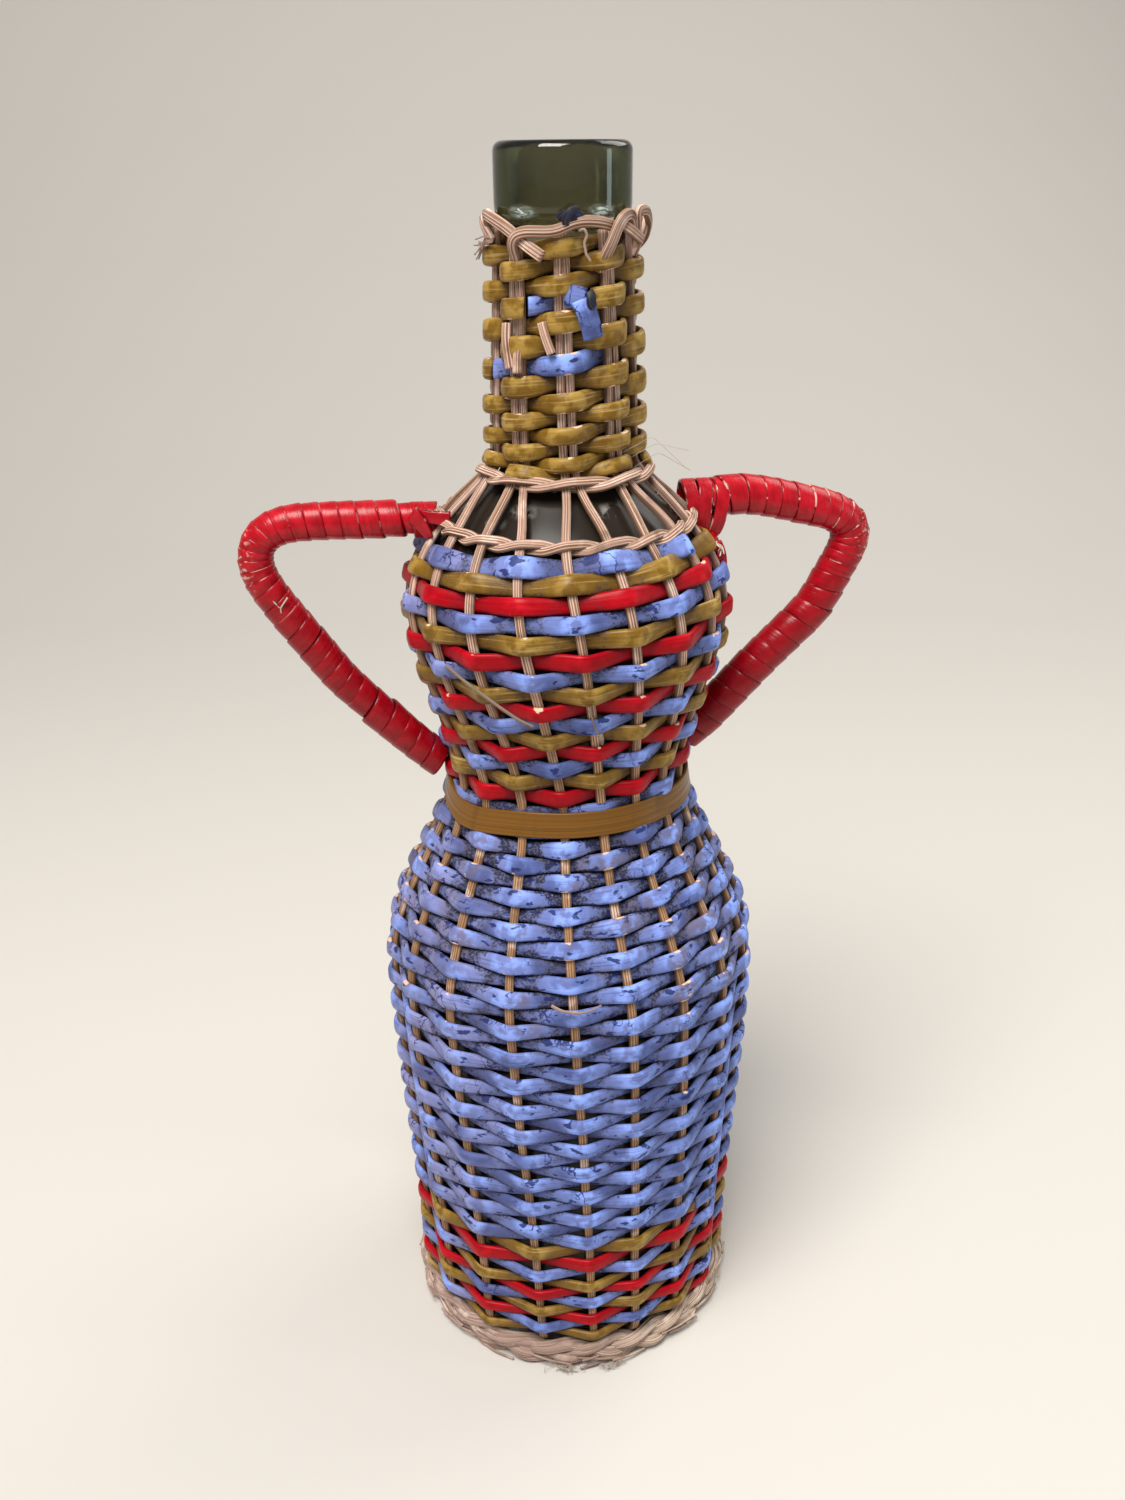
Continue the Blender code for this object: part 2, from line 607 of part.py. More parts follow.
class Route:
    """Handle centreline with rounded corners, in the upright plane at one azimuth."""

    def __init__(self, corners, azimuth):
        points = [Vector(corner[:2]) for corner in corners]
        self.samples = [points[0]]
        for before, corner, after, (_, _, radius) in zip(points, points[1:], points[2:], corners[1:]):
            self.samples += self.bend(before, corner, after, radius)
        self.samples.append(points[-1])
        self.azimuth = azimuth
        self.lengths = [0.0]
        headings = []
        for low, high in zip(self.samples, self.samples[1:]):
            self.lengths.append(self.lengths[-1] + (high - low).length)
            headings.append((high - low).normalized())
        tangents = [headings[0]]
        tangents += [(a + b).normalized() for a, b in zip(headings, headings[1:])]
        tangents.append(headings[-1])
        self.normals = [Vector((-tangent.y, tangent.x)) for tangent in tangents]

    @staticmethod
    def bend(before, corner, after, radius):
        """Points of the arc that rounds off one corner."""
        back = (before - corner).normalized()
        ahead = (after - corner).normalized()
        half_turn = (math.pi - back.angle(ahead)) / 2
        room = FILLET_SHARE * min((before - corner).length, (after - corner).length)
        radius = min(radius, room / math.tan(half_turn))
        centre = corner + (back + ahead).normalized() * radius / math.cos(half_turn)
        start = corner + back * radius * math.tan(half_turn) - centre
        turn = 2 * half_turn * (-1 if back.x * ahead.y - back.y * ahead.x > 0 else 1)
        steps = max(2, round(math.degrees(2 * half_turn) / BEND_STEP))
        arc = []
        for i in range(steps + 1):
            angle = turn * i / steps
            arc.append(centre + Vector((start.x * math.cos(angle) - start.y * math.sin(angle),
                                        start.x * math.sin(angle) + start.y * math.cos(angle))))
        return arc

    def at(self, distance):
        """Point of the centreline and the direction square to it in the plane."""
        step = 0
        while step < len(self.lengths) - 2 and distance > self.lengths[step + 1]:
            step += 1
        t = (distance - self.lengths[step]) / (self.lengths[step + 1] - self.lengths[step])
        point = self.samples[step].lerp(self.samples[step + 1], t)
        return point, self.normals[step].lerp(self.normals[step + 1], t).normalized()

    def around(self, distance, turn, radius):
        """Point at an angle and a radius round the centreline."""
        (r, z), (nr, nz) = self.at(distance)
        lift = radius * math.cos(turn)
        sideways = math.radians(self.azimuth)
        across = Vector((math.cos(sideways), math.sin(sideways), 0)) * radius * math.sin(turn)
        return polar(r + lift * nr, self.azimuth, z + lift * nz) + across


def handle(side, upper, lower, azimuth):
    """Core, wound reed and lashing of one handle."""
    ring_radius = on_line(along_at(SHOULDER_RING_HEIGHT))[0]
    waist_radius = WAIST_RADIUS + STAKE_LINE
    corners = [(ring_radius + reach, SHOULDER_RING_HEIGHT + rise, bend) for reach, rise, bend in upper]
    corners += [(waist_radius + reach, WAIST_HEIGHT + rise, bend) for reach, rise, bend in lower]
    route = Route(corners, azimuth)
    # The core's ends are cut aslant, to lie flat against the shoulder above and the weave below
    cuts = [0.0] * len(route.lengths)
    cuts[0] = -math.tan(math.radians(UPPER_CUT))
    cuts[-1] = math.tan(math.radians(LOWER_CUT))
    rings = []
    for distance, cut in zip(route.lengths, cuts):
        ring = []
        for k in range(WRAP_SIDES):
            turn = math.tau * k / WRAP_SIDES
            ring.append(route.around(distance + cut * CORE_RADIUS * math.cos(turn), turn, CORE_RADIUS))
        rings.append(ring)
    finish(sweep(rings), f"handle_core_{side}", STRAW)

    # The flats of the wound reed dip between its corners, so its corners stand off by that much
    inner = (CORE_RADIUS + GAP) / math.cos(math.pi / WRAP_SIDES)
    outer = inner + WRAP_THICKNESS
    run = route.lengths[-1] - WRAP_START - WRAP_END - WRAP_REED_WIDTH
    pitch = run / WRAP_TURNS
    half = WRAP_REED_WIDTH / 2
    rings = []
    for i in range(WRAP_TURNS * WRAP_SIDES + 1):
        distance = WRAP_START + half + pitch * i / WRAP_SIDES
        turn = math.tau * i / WRAP_SIDES
        corners = [(-half, inner), (half, inner), (half, outer), (-half, outer)]
        rings.append([route.around(distance + shift, turn, radius) for shift, radius in corners])
    facing = [(ring[1], after[0]) for ring, after in zip(rings, rings[WRAP_SIDES:])]
    facing += [(ring[2], after[3]) for ring, after in zip(rings, rings[WRAP_SIDES:])]
    least = min((a - b).length for a, b in facing)
    print(f"handle_wrap_{side}: least gap between turns {least * 1000:.2f} mm")
    finish(sweep(rings), f"handle_wrap_{side}", RED)

    # Lashing: a flat loop of reed round the core's upper end, lying against the shoulder
    slope = math.radians(LASHING_SLOPE)
    ahead = Vector((math.cos(slope), math.sin(slope)))
    up = Vector((-math.sin(slope), math.cos(slope)))
    heading = (route.samples[1] - route.samples[0]).normalized()
    centre = route.samples[0] + heading * (LASHING_WIDTH / 2 / math.cos(slope))
    sideways = math.radians(azimuth)
    across = Vector((math.cos(sideways), math.sin(sideways), 0))
    loop_radius = CORE_RADIUS + 2 * GAP
    straight = CORE_RADIUS / math.cos(slope) - CORE_RADIUS + LASHING_SLACK
    rings = []
    for i in range(LASHING_STEPS):
        turn = math.tau * (i + 0.5) / LASHING_STEPS
        end = straight if math.cos(turn) > 0 else -straight
        ring = []
        outer = loop_radius + LASHING_THICKNESS
        for radius, shift in ((loop_radius, -0.5), (loop_radius, 0.5), (outer, 0.5), (outer, -0.5)):
            rz = centre + up * (end + radius * math.cos(turn)) + ahead * (shift * LASHING_WIDTH)
            ring.append(polar(rz.x, azimuth, rz.y) + across * radius * math.sin(turn))
        rings.append(ring)
    finish(sweep(rings, closed=True), f"handle_lashing_{side}", RED)


glass_bottle()
base_mat()
foot_plait()
stakes()
body_weave()
waist_belt()
twisted_ring("shoulder_ring", SHOULDER_RING_HEIGHT, STAKES,
             lambda stake, along: [stake_azimuth(stake, along)])
twisted_ring("neck_ring", NECK_RING_HEIGHT, BUNDLES, bundle_stations)
neck_weave()
mouth_border()
handle("left", LEFT_UPPER, LEFT_LOWER, LEFT_AZIMUTH)
handle("right", RIGHT_UPPER, RIGHT_LOWER, RIGHT_AZIMUTH)
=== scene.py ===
import math

import bmesh
import bpy
import numpy as np
from mathutils import Matrix, Vector


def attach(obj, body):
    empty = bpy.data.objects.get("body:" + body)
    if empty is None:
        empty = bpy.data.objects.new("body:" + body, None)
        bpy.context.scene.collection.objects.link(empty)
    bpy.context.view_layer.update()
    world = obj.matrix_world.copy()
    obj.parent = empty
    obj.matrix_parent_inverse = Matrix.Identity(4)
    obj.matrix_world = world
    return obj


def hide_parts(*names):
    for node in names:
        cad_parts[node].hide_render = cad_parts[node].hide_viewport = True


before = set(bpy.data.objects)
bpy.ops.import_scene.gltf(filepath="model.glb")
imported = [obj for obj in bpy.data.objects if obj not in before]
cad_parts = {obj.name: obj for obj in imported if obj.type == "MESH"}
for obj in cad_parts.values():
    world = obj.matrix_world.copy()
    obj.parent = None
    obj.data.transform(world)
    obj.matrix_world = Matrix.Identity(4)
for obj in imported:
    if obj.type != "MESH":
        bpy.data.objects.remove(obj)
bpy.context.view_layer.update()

# Camera
# It stands a third of a metre in front of the bottle, level with its mouth, and looks down at it.
camera = bpy.data.objects.new("camera", bpy.data.cameras.new("camera"))
camera.data.sensor_fit = "VERTICAL"
camera.data.sensor_height = 36
camera.data.lens = 32.4
camera.data.clip_start = 0.01
camera.location = (-0.0013, -0.3286, 0.3192)
from_straight_down, roll = math.radians(66), math.radians(-0.56)
tilt = Matrix.Rotation(from_straight_down, 3, "X") @ Matrix.Rotation(roll, 3, "Z")
camera.rotation_euler = tilt.to_euler()
bpy.context.collection.objects.link(camera)
bpy.context.scene.camera = camera


# Blown glass bottle
# One bubble of dark green glass blown as two bulbs with a narrow waist between them. The base is
# pushed up in the middle and the mouth is finished with a thick, flat-sided collar.
class Finish:
    """The nodes of one material: each call adds a node, sets or links its inputs and gives its output."""

    def __init__(self, name):
        self.material = bpy.data.materials.new(name)
        self.material.use_nodes = True
        self.nodes = self.material.node_tree.nodes
        self.shader = self.nodes["Principled BSDF"]

    def put(self, socket, value):
        if isinstance(value, bpy.types.NodeSocket):
            self.material.node_tree.links.new(value, socket)
        elif isinstance(value, tuple) and len(value) == 3 and socket.type == "RGBA":
            socket.default_value = (*value, 1.0)
        else:
            socket.default_value = value

    def add(self, kind, inputs, output=0, **settings):
        node = self.nodes.new("ShaderNode" + kind)
        for key, value in settings.items():
            setattr(node, key, value)
        for key, value in inputs.items():
            self.put(node.inputs[key], value)
        return node.outputs[output]

    def math(self, operation, a, b=0.0, clamp=False):
        return self.add("Math", {0: a, 1: b}, operation=operation, use_clamp=clamp)

    def times(self, first, *others):
        for other in others:
            first = self.math("MULTIPLY", first, other)
        return first

    def plus(self, first, *others):
        for other in others:
            first = self.math("ADD", first, other)
        return first

    def minus(self, a, b):
        return self.math("SUBTRACT", a, b)

    def band(self, value, low, high):
        """0 below low and 1 above high, with a smooth change between; low may lie above high."""
        return self.add("MapRange", {"Value": value, "From Min": low, "From Max": high},
                        interpolation_type="SMOOTHSTEP")

    def where(self):
        """Place on the bottle, from the middle of its foot."""
        return self.add("TexCoord", {}, output="Object")

    def axis(self, letter):
        return self.add("SeparateXYZ", {0: self.where()}, output=letter)

    def joined(self, x, y):
        return self.add("CombineXYZ", {0: x, 1: y})

    def stretched(self, vector, *factors):
        return self.add("VectorMath", {0: vector, 1: factors}, operation="MULTIPLY")

    def noise(self, vector, scale, detail=3.0, distortion=0.0):
        return self.add("TexNoise", {"Vector": vector, "Scale": scale, "Detail": detail,
                                     "Distortion": distortion})

    def mix(self, share, a, b):
        return self.add("Mix", {0: share, 6: a, 7: b}, output=2, data_type="RGBA")

    def coat(self, under, over, *shares):
        """One colour laid over another by the product of some shares."""
        return self.mix(self.times(*shares), under, over)

    def bump(self, height, strength, distance):
        normal = self.add("Bump", {"Height": height, "Strength": strength, "Distance": distance})
        self.put(self.shader.inputs["Normal"], normal)

    def surface(self, **values):
        for key, value in values.items():
            self.put(self.shader.inputs[key.replace("_", " ")], value)
        return self.material


same_point = 1e-6


def show(name, bm, material, nodes):
    """Close up a mesh, face it outwards and show it in place of CAD nodes."""
    bmesh.ops.remove_doubles(bm, verts=bm.verts, dist=same_point)
    bmesh.ops.recalc_face_normals(bm, faces=bm.faces)
    for face in bm.faces:
        face.smooth = True
    mesh = bpy.data.meshes.new(name)
    bm.to_mesh(mesh)
    bm.free()
    mesh.materials.append(material)
    piece = bpy.data.objects.new(name, mesh)
    bpy.context.collection.objects.link(piece)
    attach(piece, "root")
    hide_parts(*nodes)


def blend(lower, upper, z):
    """Radius at a height between two stages of the glass."""
    (z0, r0, m0), (z1, r1, m1) = lower, upper
    t = (z - z0) / (z1 - z0)
    return ((2 * t**3 - 3 * t**2 + 1) * r0 + (t**3 - 2 * t**2 + t) * (z1 - z0) * m0
            + (3 * t**2 - 2 * t**3) * r1 + (t**3 - t**2) * (z1 - z0) * m1)


# Height, radius and slope of the outer wall at its foot, both bulbs, the waist, the shoulder and the neck
stages = [(0.013, 0.0422, 0), (0.116, 0.0467, 0), (0.170, 0.0279, 0), (0.216, 0.0373, 0),
          (0.238, 0.0260, -1.0), (0.2525, 0.0142, 0), (0.303, 0.0129, 0)]
foot_round, wall, lip_round = 0.007, 0.003, 0.0022
corner = np.radians(np.linspace(90, 0, 14, endpoint=False))
wall_r = [stages[0][1] - foot_round + foot_round * np.cos(corner)]
wall_z = [stages[0][0] - foot_round * np.sin(corner)]
for lower, upper in zip(stages, stages[1:]):
    heights = np.linspace(lower[0], upper[0], 60, endpoint=upper is stages[-1])
    wall_r.append(blend(lower, upper, heights))
    wall_z.append(heights)
wall_r = np.concatenate(wall_r)
wall_z = np.concatenate(wall_z)

# Outline from the pushed-up base over wall, collar and lip, and down the inside to the floor
profile = [(0, 0.012), (0.008, 0.0115), (0.0145, 0.010), (0.020, 0.0075), (0.0235, 0.0061), (0.027, 0.006)]
profile += list(zip(wall_r[::3], wall_z[::3]))
profile += [(0.0129, 0.303), (0.0133, 0.3040), (0.0147, 0.3050), (0.0155, 0.3062), (0.0157, 0.308),
            (0.0157, 0.3180)]
for turn in np.radians(np.linspace(0, 90, 7)):
    profile.append((0.0135 + lip_round * math.cos(turn), 0.3189 + lip_round * math.sin(turn)))
profile += [(0.0123, 0.3211), (0.0112, 0.3205), (0.0105, 0.3191), (0.0101, 0.316)]
inside = [(r - wall, z) for r, z in zip(wall_r[len(corner)::4], wall_z[len(corner)::4]) if z > 0.02]
profile += inside[::-1] + [(0.036, 0.0125), (0.030, 0.0102), (0.022, 0.0115), (0.012, 0.0145), (0, 0.0158)]
bm = bmesh.new()
points = [bm.verts.new((r, 0, z)) for r, z in profile]
edges = [bm.edges.new(pair) for pair in zip(points, points[1:])]
bmesh.ops.spin(bm, geom=points + edges, cent=(0, 0, 0), axis=(0, 0, 1), angle=math.tau, steps=96,
               use_merge=True)
glass = Finish("dark_green_glass")
where = glass.where()
glass.bump(glass.noise(glass.stretched(where, 1.0, 1.0, 0.35), 40, 2), 0.05, 0.001)
# The jacket shuts the light out, so the glass below the collar is given painted shade: a nearly black colour
# that is not see-through
clear = glass.band(glass.axis("Z"), 0.2985, 0.3035)
painted_shade_black, clear_tint = (0.018, 0.013, 0.009), (0.60, 0.53, 0.43)
tint = glass.mix(clear, painted_shade_black, clear_tint)
rough = glass.minus(0.26, glass.times(clear, 0.23))


def near(spots, reach):
    """1 at some spots on the glass, given by azimuth in degrees, radius and height, and 0 from reach away."""
    total = 0.0
    for azimuth, r, z in spots:
        spot = (r * math.sin(math.radians(azimuth)), -r * math.cos(math.radians(azimuth)), z)
        away = glass.add("VectorMath", {0: where, 1: spot}, operation="SUBTRACT")
        away = glass.add("VectorMath", {0: glass.stretched(away, 1.0, 1.0, 2.4)}, output="Value",
                         operation="LENGTH")
        total = glass.plus(glass.band(away, reach, reach * 0.1), total)
    return total


# Painted pools of light in two pale spots at the foot of the thick collar, and painted glints in streaks on
# the shoulder
spot_reach = 0.0048
painted_pool_green, painted_pool_white, painted_glint_grey = (0.14, 0.48, 0.44), (0.85, 1.0, 0.97), (0.46, 0.44, 0.40)
painted_pool = near([(-36, 0.0157, 0.3066), (34, 0.0157, 0.3068)], spot_reach)
ripples = glass.noise(glass.stretched(where, 1.0, 1.0, 3.5), 380, 2, 0.6)
painted_pool = glass.math("MULTIPLY", painted_pool, glass.plus(0.35, glass.band(ripples, 0.40, 0.60)), clamp=True)
tint = glass.coat(tint, glass.mix(glass.band(painted_pool, 0.45, 0.85), painted_pool_green, painted_pool_white), painted_pool)
streaks = glass.noise(glass.stretched(where, 1.0, 1.0, 0.3), 420, 3)
# Painted glints: pale grey streaks laid over three spots of the shoulder glass
painted_glints = near([(-43, 0.0260, 0.2394), (-27, 0.0222, 0.2422), (28, 0.0222, 0.2424)], spot_reach)
tint = glass.coat(tint, painted_glint_grey, glass.band(streaks, 0.46, 0.62), painted_glints, 0.5)
seen_through = glass.times(clear, glass.minus(1.0, glass.times(painted_pool, 0.9)))
glass.surface(Base_Color=tint, Roughness=rough, IOR=1.5, Transmission_Weight=seen_through,
              Specular_IOR_Level=0.16)
absorb = glass.add("VolumeAbsorption", {"Color": (0.36, 0.44, 0.25), "Density": 205.0})
glass.put(glass.nodes["Material Output"].inputs["Volume"], absorb)
show("blown_glass_bottle", bm, glass.material, ["glass_bottle"])


# Base mat
# A small round of cane under the glass: ten flat ribs crossed by rounds of thin cane.
# The jacket is laid out on the line of the stakes, which runs up the glass a strand's room off it.
def run_along(points):
    """Distance along a row of points, from the first."""
    return np.concatenate([[0], np.cumsum(np.linalg.norm(np.diff(points, axis=0), axis=1))])


line_gap = 0.0025
steps_r, steps_z = np.gradient(wall_r), np.gradient(wall_z)
steps = np.hypot(steps_r, steps_z)
out_r, out_z = steps_z / steps, -steps_r / steps
line_r, line_z = wall_r + line_gap * out_r, wall_z + line_gap * out_z
along = run_along(np.stack([line_r, line_z], 1))
top = along[-1]


def polar(r, azimuth, z):
    """Points at an azimuth in degrees: 0 at the front, growing to the right."""
    turn = np.radians(azimuth)
    return np.stack(np.broadcast_arrays(r * np.sin(turn), -r * np.cos(turn), z), axis=-1)


def place(azimuth, up, out=0.0):
    """Points on the jacket: azimuth, distance up the stake line, and distance out from it."""
    r = np.interp(up, along, line_r) + out * np.interp(up, along, out_r)
    return polar(r, azimuth, np.interp(up, along, line_z) + out * np.interp(up, along, out_z))


def along_at(height):
    """Distance up the stake line at a height."""
    return float(np.interp(height, line_z, along))


def unit(vectors):
    return vectors / np.maximum(np.linalg.norm(vectors, axis=-1, keepdims=True), 1e-12)


def heading_of(path):
    return unit(np.gradient(path, axis=0))


def heading_round(path):
    """Heading at each point of a path that closes on itself."""
    return unit(np.roll(path, -1, 0) - np.roll(path, 1, 0))


def upwards_at(azimuth, up, out=0.0):
    """Heading up the jacket."""
    return unit(place(azimuth, up + 0.001, out) - place(azimuth, up - 0.001, out))


def read_at(spots, run, values):
    """Rows of values that are given along a run, read at other spots on it."""
    return np.stack([np.interp(spots, run, column) for column in values.T], 1)


def soften(values, reach, closed=False):
    """Round off kinks in a row of evenly spaced values, over so many neighbours to either side."""
    weights = np.hanning(2 * reach + 3)[1:-1]
    padded = np.concatenate([values[-reach:], values, values[:reach]]) if closed else \
        np.concatenate([values[:1].repeat(reach, 0), values, values[-1:].repeat(reach, 0)])
    columns = padded.reshape(len(padded), -1).T
    smooth = [np.convolve(column, weights / weights.sum(), "valid") for column in columns]
    return np.array(smooth).T.reshape(values.shape)


def ease(share):
    return share * share * (3 - 2 * share)


def wander(length, bump, seed):
    """Slow uneven wavering between -1 and 1 along a length, with bumps about so long."""
    dice = np.random.default_rng(seed)
    levels = dice.uniform(-1, 1, int(np.max(length) / bump) + 4)
    place_in = length / bump + dice.uniform(0, 1)
    step = place_in.astype(int)
    share = ease(place_in - step)
    return levels[step] * (1 - share) + levels[step + 1] * share


def oval(sides, flatness=0.5, crown=0.5):
    """Section of a flat reed: width -0.5 to 0.5 across and its depth, the outer face domed by crown."""
    turns = np.linspace(0, math.tau, sides, endpoint=False)
    across = 0.5 * np.sign(np.cos(turns)) * np.abs(np.cos(turns)) ** flatness
    depth = np.sign(np.sin(turns)) * np.abs(np.sin(turns)) ** 0.8
    return np.stack([across, np.where(depth > 0, depth * crown, depth * (1 - crown))], axis=1)


def reed(name, path, side, out, section, material, nodes, over=0.0, start=0.0, closed=False):
    """A reed laid along a path. side and out are its full width and depth at each point of the path.
    Each point keeps its distance along the reed, its place across it and how far it stands out."""
    rows, sides = len(path), len(section)
    spans = rows if closed else rows - 1
    bm = bmesh.new()
    bmesh.ops.create_grid(bm, x_segments=spans, y_segments=sides, size=0.5)
    mesh = bpy.data.meshes.new(name)
    bm.to_mesh(mesh)
    spot = np.empty(len(mesh.vertices) * 3)
    mesh.vertices.foreach_get("co", spot)
    spot = spot.reshape(-1, 3) + 0.5
    i = np.rint(spot[:, 0] * spans).astype(int) % rows
    j = np.rint(spot[:, 1] * sides).astype(int) % sides
    moved = path[i] + side[i] * section[j, :1] + out[i] * section[j, 1:]
    mesh.vertices.foreach_set("co", moved.ravel())
    length = start + run_along(path)
    over = np.broadcast_to(over, rows)
    kept = np.stack([length[i], section[j, 0], over[i]], axis=1)
    mesh.attributes.new("reed", "FLOAT_VECTOR", "POINT").data.foreach_set("vector", kept.ravel())
    bm.clear()
    bm.from_mesh(mesh)
    bmesh.ops.remove_doubles(bm, verts=bm.verts, dist=same_point)
    bmesh.ops.holes_fill(bm, edges=bm.edges, sides=0)
    bpy.data.meshes.remove(mesh)
    show(name, bm, material, nodes)


def reed_places(made):
    """What each point of a reed keeps: distance along it, place across it, and how far it stands out."""
    split = made.nodes.new("ShaderNodeSeparateXYZ")
    made.put(split.inputs[0], made.add("Attribute", {}, output="Vector", attribute_name="reed"))
    return split.outputs


def grown(name, pale, deep, groove, roughness, grooves=0.0, streak=30.0, bleached=None, high=None,
          right=None):
    """Unpainted cane or straw: long grain streaks, dark hairlines, worn pale patches and pressed grooves.
    The colour of its upper part or right side may differ; where the right does, the front is darker with
    painted shade."""
    made = Finish(name)
    length, across = reed_places(made)[:2]
    if high:
        pale = made.coat(pale, high, made.band(made.axis("Z"), 0.16, 0.235))
    if right:
        x = made.axis("X")
        pale = made.coat(pale, right, made.band(x, -0.02, 0.03))
    run = made.times(length, streak)
    grain = made.noise(made.joined(run, made.times(across, 9.0)), 1.0, 5)
    hairs = made.noise(made.joined(run, made.times(across, 24.0)), 1.0, 2)
    patch = made.noise(made.joined(length, made.times(across, 0.002)), 140, 3)
    colour = made.mix(made.band(grain, 0.36, 0.62), deep, pale)
    if bleached:
        colour = made.coat(colour, bleached, made.band(patch, 0.47, 0.34), 0.75)
    colour = made.coat(colour, groove, made.band(patch, 0.54, 0.74), 0.7)
    if right:
        # Painted shade: darker where it lies near the middle, at the front and the back alike
        aside = made.math("ABSOLUTE", made.plus(x, 0.002))
        colour = made.coat(colour, deep, made.band(aside, 0.034, 0.008), 0.6)
    waves_across = 3.5
    ridge = made.math("COSINE", made.plus(made.times(across, math.tau * waves_across),
                                          made.times(grain, 1.6)))
    colour = made.coat(colour, groove, made.band(ridge, 0.35, -0.95), grooves)
    colour = made.coat(colour, groove, made.band(hairs, 0.44, 0.33), 0.8)
    made.bump(made.plus(made.times(ridge, 0.4), made.plus(grain, hairs)), 0.5, 0.00025)
    return made.surface(Base_Color=colour, Roughness=roughness, Specular_IOR_Level=0.25)


straw = grown("dry_straw", (0.56, 0.40, 0.34), (0.29, 0.185, 0.145), (0.09, 0.052, 0.036), 0.8,
              streak=12.0, bleached=(0.76, 0.62, 0.54), right=(0.72, 0.57, 0.44))
mat_cane = oval(10)
mat_height, rib_count, round_count = 0.0036, 10, 7
for rib in range(rib_count):
    turn = np.full(2, rib * 360 / rib_count)
    reed(f"mat_rib_{rib + 1:02d}", polar(np.array([0.003, 0.0312]), turn, mat_height),
         polar(0.0022, turn + 90, 0.0), np.array([[0, 0, -0.0008]] * 2), mat_cane, straw,
         ["base_mat"], start=rib)
turn = np.linspace(0, 360, 160, endpoint=False)
outwards = polar(1.0, turn, 0.0)
for ring in range(round_count):
    wave = np.cos(np.radians(turn * rib_count / 2 + 180 * ring)) * 0.0009
    path = polar(0.0065 + 0.0038 * ring, turn, mat_height + wave)
    reed(f"mat_round_{ring + 1}", path, outwards * 0.0033, np.cross(heading_round(path), outwards) * 0.0009,
         mat_cane, straw, ["base_mat"], start=20 + ring, closed=True)

# Stakes
# Nineteen flat, grooved canes rise from the foot. They lean with the weave, stand bare over the
# open shoulder and are gathered two or three together into nine bundles on the neck.
stake_count, bundle_count = 19, 9
stake_width, stake_depth = 0.0023, 0.0018
waist_height, ring_height = 0.170, 0.2365
ring_up, neck_up = along_at(ring_height), along_at(0.2545)
crowded_at, crowd_push, crowd_spread = -8, 4.2, 18.0


def aside_of(azimuth, middle):
    """Angle from a middle azimuth, between -180 and 180 degrees."""
    return (azimuth - middle + 180) % 360 - 180


def stake_azimuth(stake, up):
    """Azimuth of a stake below the neck, also for a count that has run past one round. Stakes lean to
    the left as they rise, and low down those just left of the front are pushed to the right."""
    height = np.interp(up, along, line_z)
    above = np.maximum(ring_height - np.maximum(height, waist_height), 0) / (ring_height - waist_height)
    below = np.maximum(waist_height - height, 0) / waist_height
    azimuth = -0.4 + (stake - 11) * 360 / stake_count + 15.0 * above + 9.0 * below
    crowd = np.exp(-(aside_of(azimuth, crowded_at) / crowd_spread) ** 2 / 2)
    return azimuth + crowd_push * np.maximum(1 - (height / 0.230) ** 2, 0) * crowd


def bundle_azimuth(bundle, up):
    """Azimuth of a bundle: they lean a little to the left on the neck."""
    return 2.0 - 110.0 * (np.interp(up, along, line_z) - 0.258) + (bundle - 5) * 360 / bundle_count


def mates_in(bundle):
    """The two or three stakes of a bundle."""
    return [stake for stake in range(stake_count) if stake * bundle_count // stake_count == bundle]


def on_neck(up):
    """Share of the way from the shoulder ring to the foot of the neck."""
    return np.clip((up - ring_up) / (neck_up - ring_up), 0, 1)


def gathered_azimuth(stake, up):
    """Azimuth of a stake anywhere on the jacket, with its place in its bundle, which narrows up the neck."""
    bundle = stake * bundle_count // stake_count
    mates = mates_in(bundle)
    room = np.interp(np.interp(up, along, line_z), (0.256, 0.298), (0.0023, 0.0016))
    side = (mates.index(stake) - (len(mates) - 1) / 2) * room
    share = ease(on_neck(up))
    in_bundle = bundle_azimuth(bundle, up) + np.degrees(side / np.interp(up, along, line_r))
    return stake_azimuth(stake, up) * (1 - share) + in_bundle * share


cane = grown("natural_cane", (0.52, 0.30, 0.16), (0.30, 0.155, 0.075), (0.085, 0.042, 0.024), 0.5,
             grooves=0.7, bleached=(0.86, 0.64, 0.53), high=(0.80, 0.54, 0.44))
# Section of the cane, with grooves pressed along its outer face
grooved = np.array([(-0.5, -0.25), (-0.47, 0.15), (-0.38, 0.42), (-0.30, 0.47), (-0.24, 0.33), (-0.17, 0.5),
                    (-0.08, 0.52), (0.0, 0.34), (0.08, 0.52), (0.17, 0.5), (0.24, 0.33), (0.30, 0.47),
                    (0.38, 0.42), (0.47, 0.15), (0.5, -0.25), (0.4, -0.45), (0.0, -0.5), (-0.4, -0.45)])[::-1]
up = np.linspace(0.002, top, 330)
for stake in range(stake_count):
    azimuth = soften(gathered_azimuth(stake, up), 5)
    sway = wander(up, 0.018, 40 + stake) * 0.00018
    path = place(azimuth + np.degrees(sway / np.interp(up, along, line_r)), up)
    rightwards = polar(1.0, azimuth + 90, 0.0)
    outwards = unit(np.cross(heading_of(path), rightwards))
    width = stake_width * (1 - 0.14 * on_neck(up)) * (1 + 0.08 * wander(up, 0.012, 70 + stake))
    reed(f"cane_stake_{stake + 1:02d}", path, rightwards * width[:, None], outwards * stake_depth,
         grooved, cane, [f"stake_{stake + 1:02d}"], start=stake * 0.7)


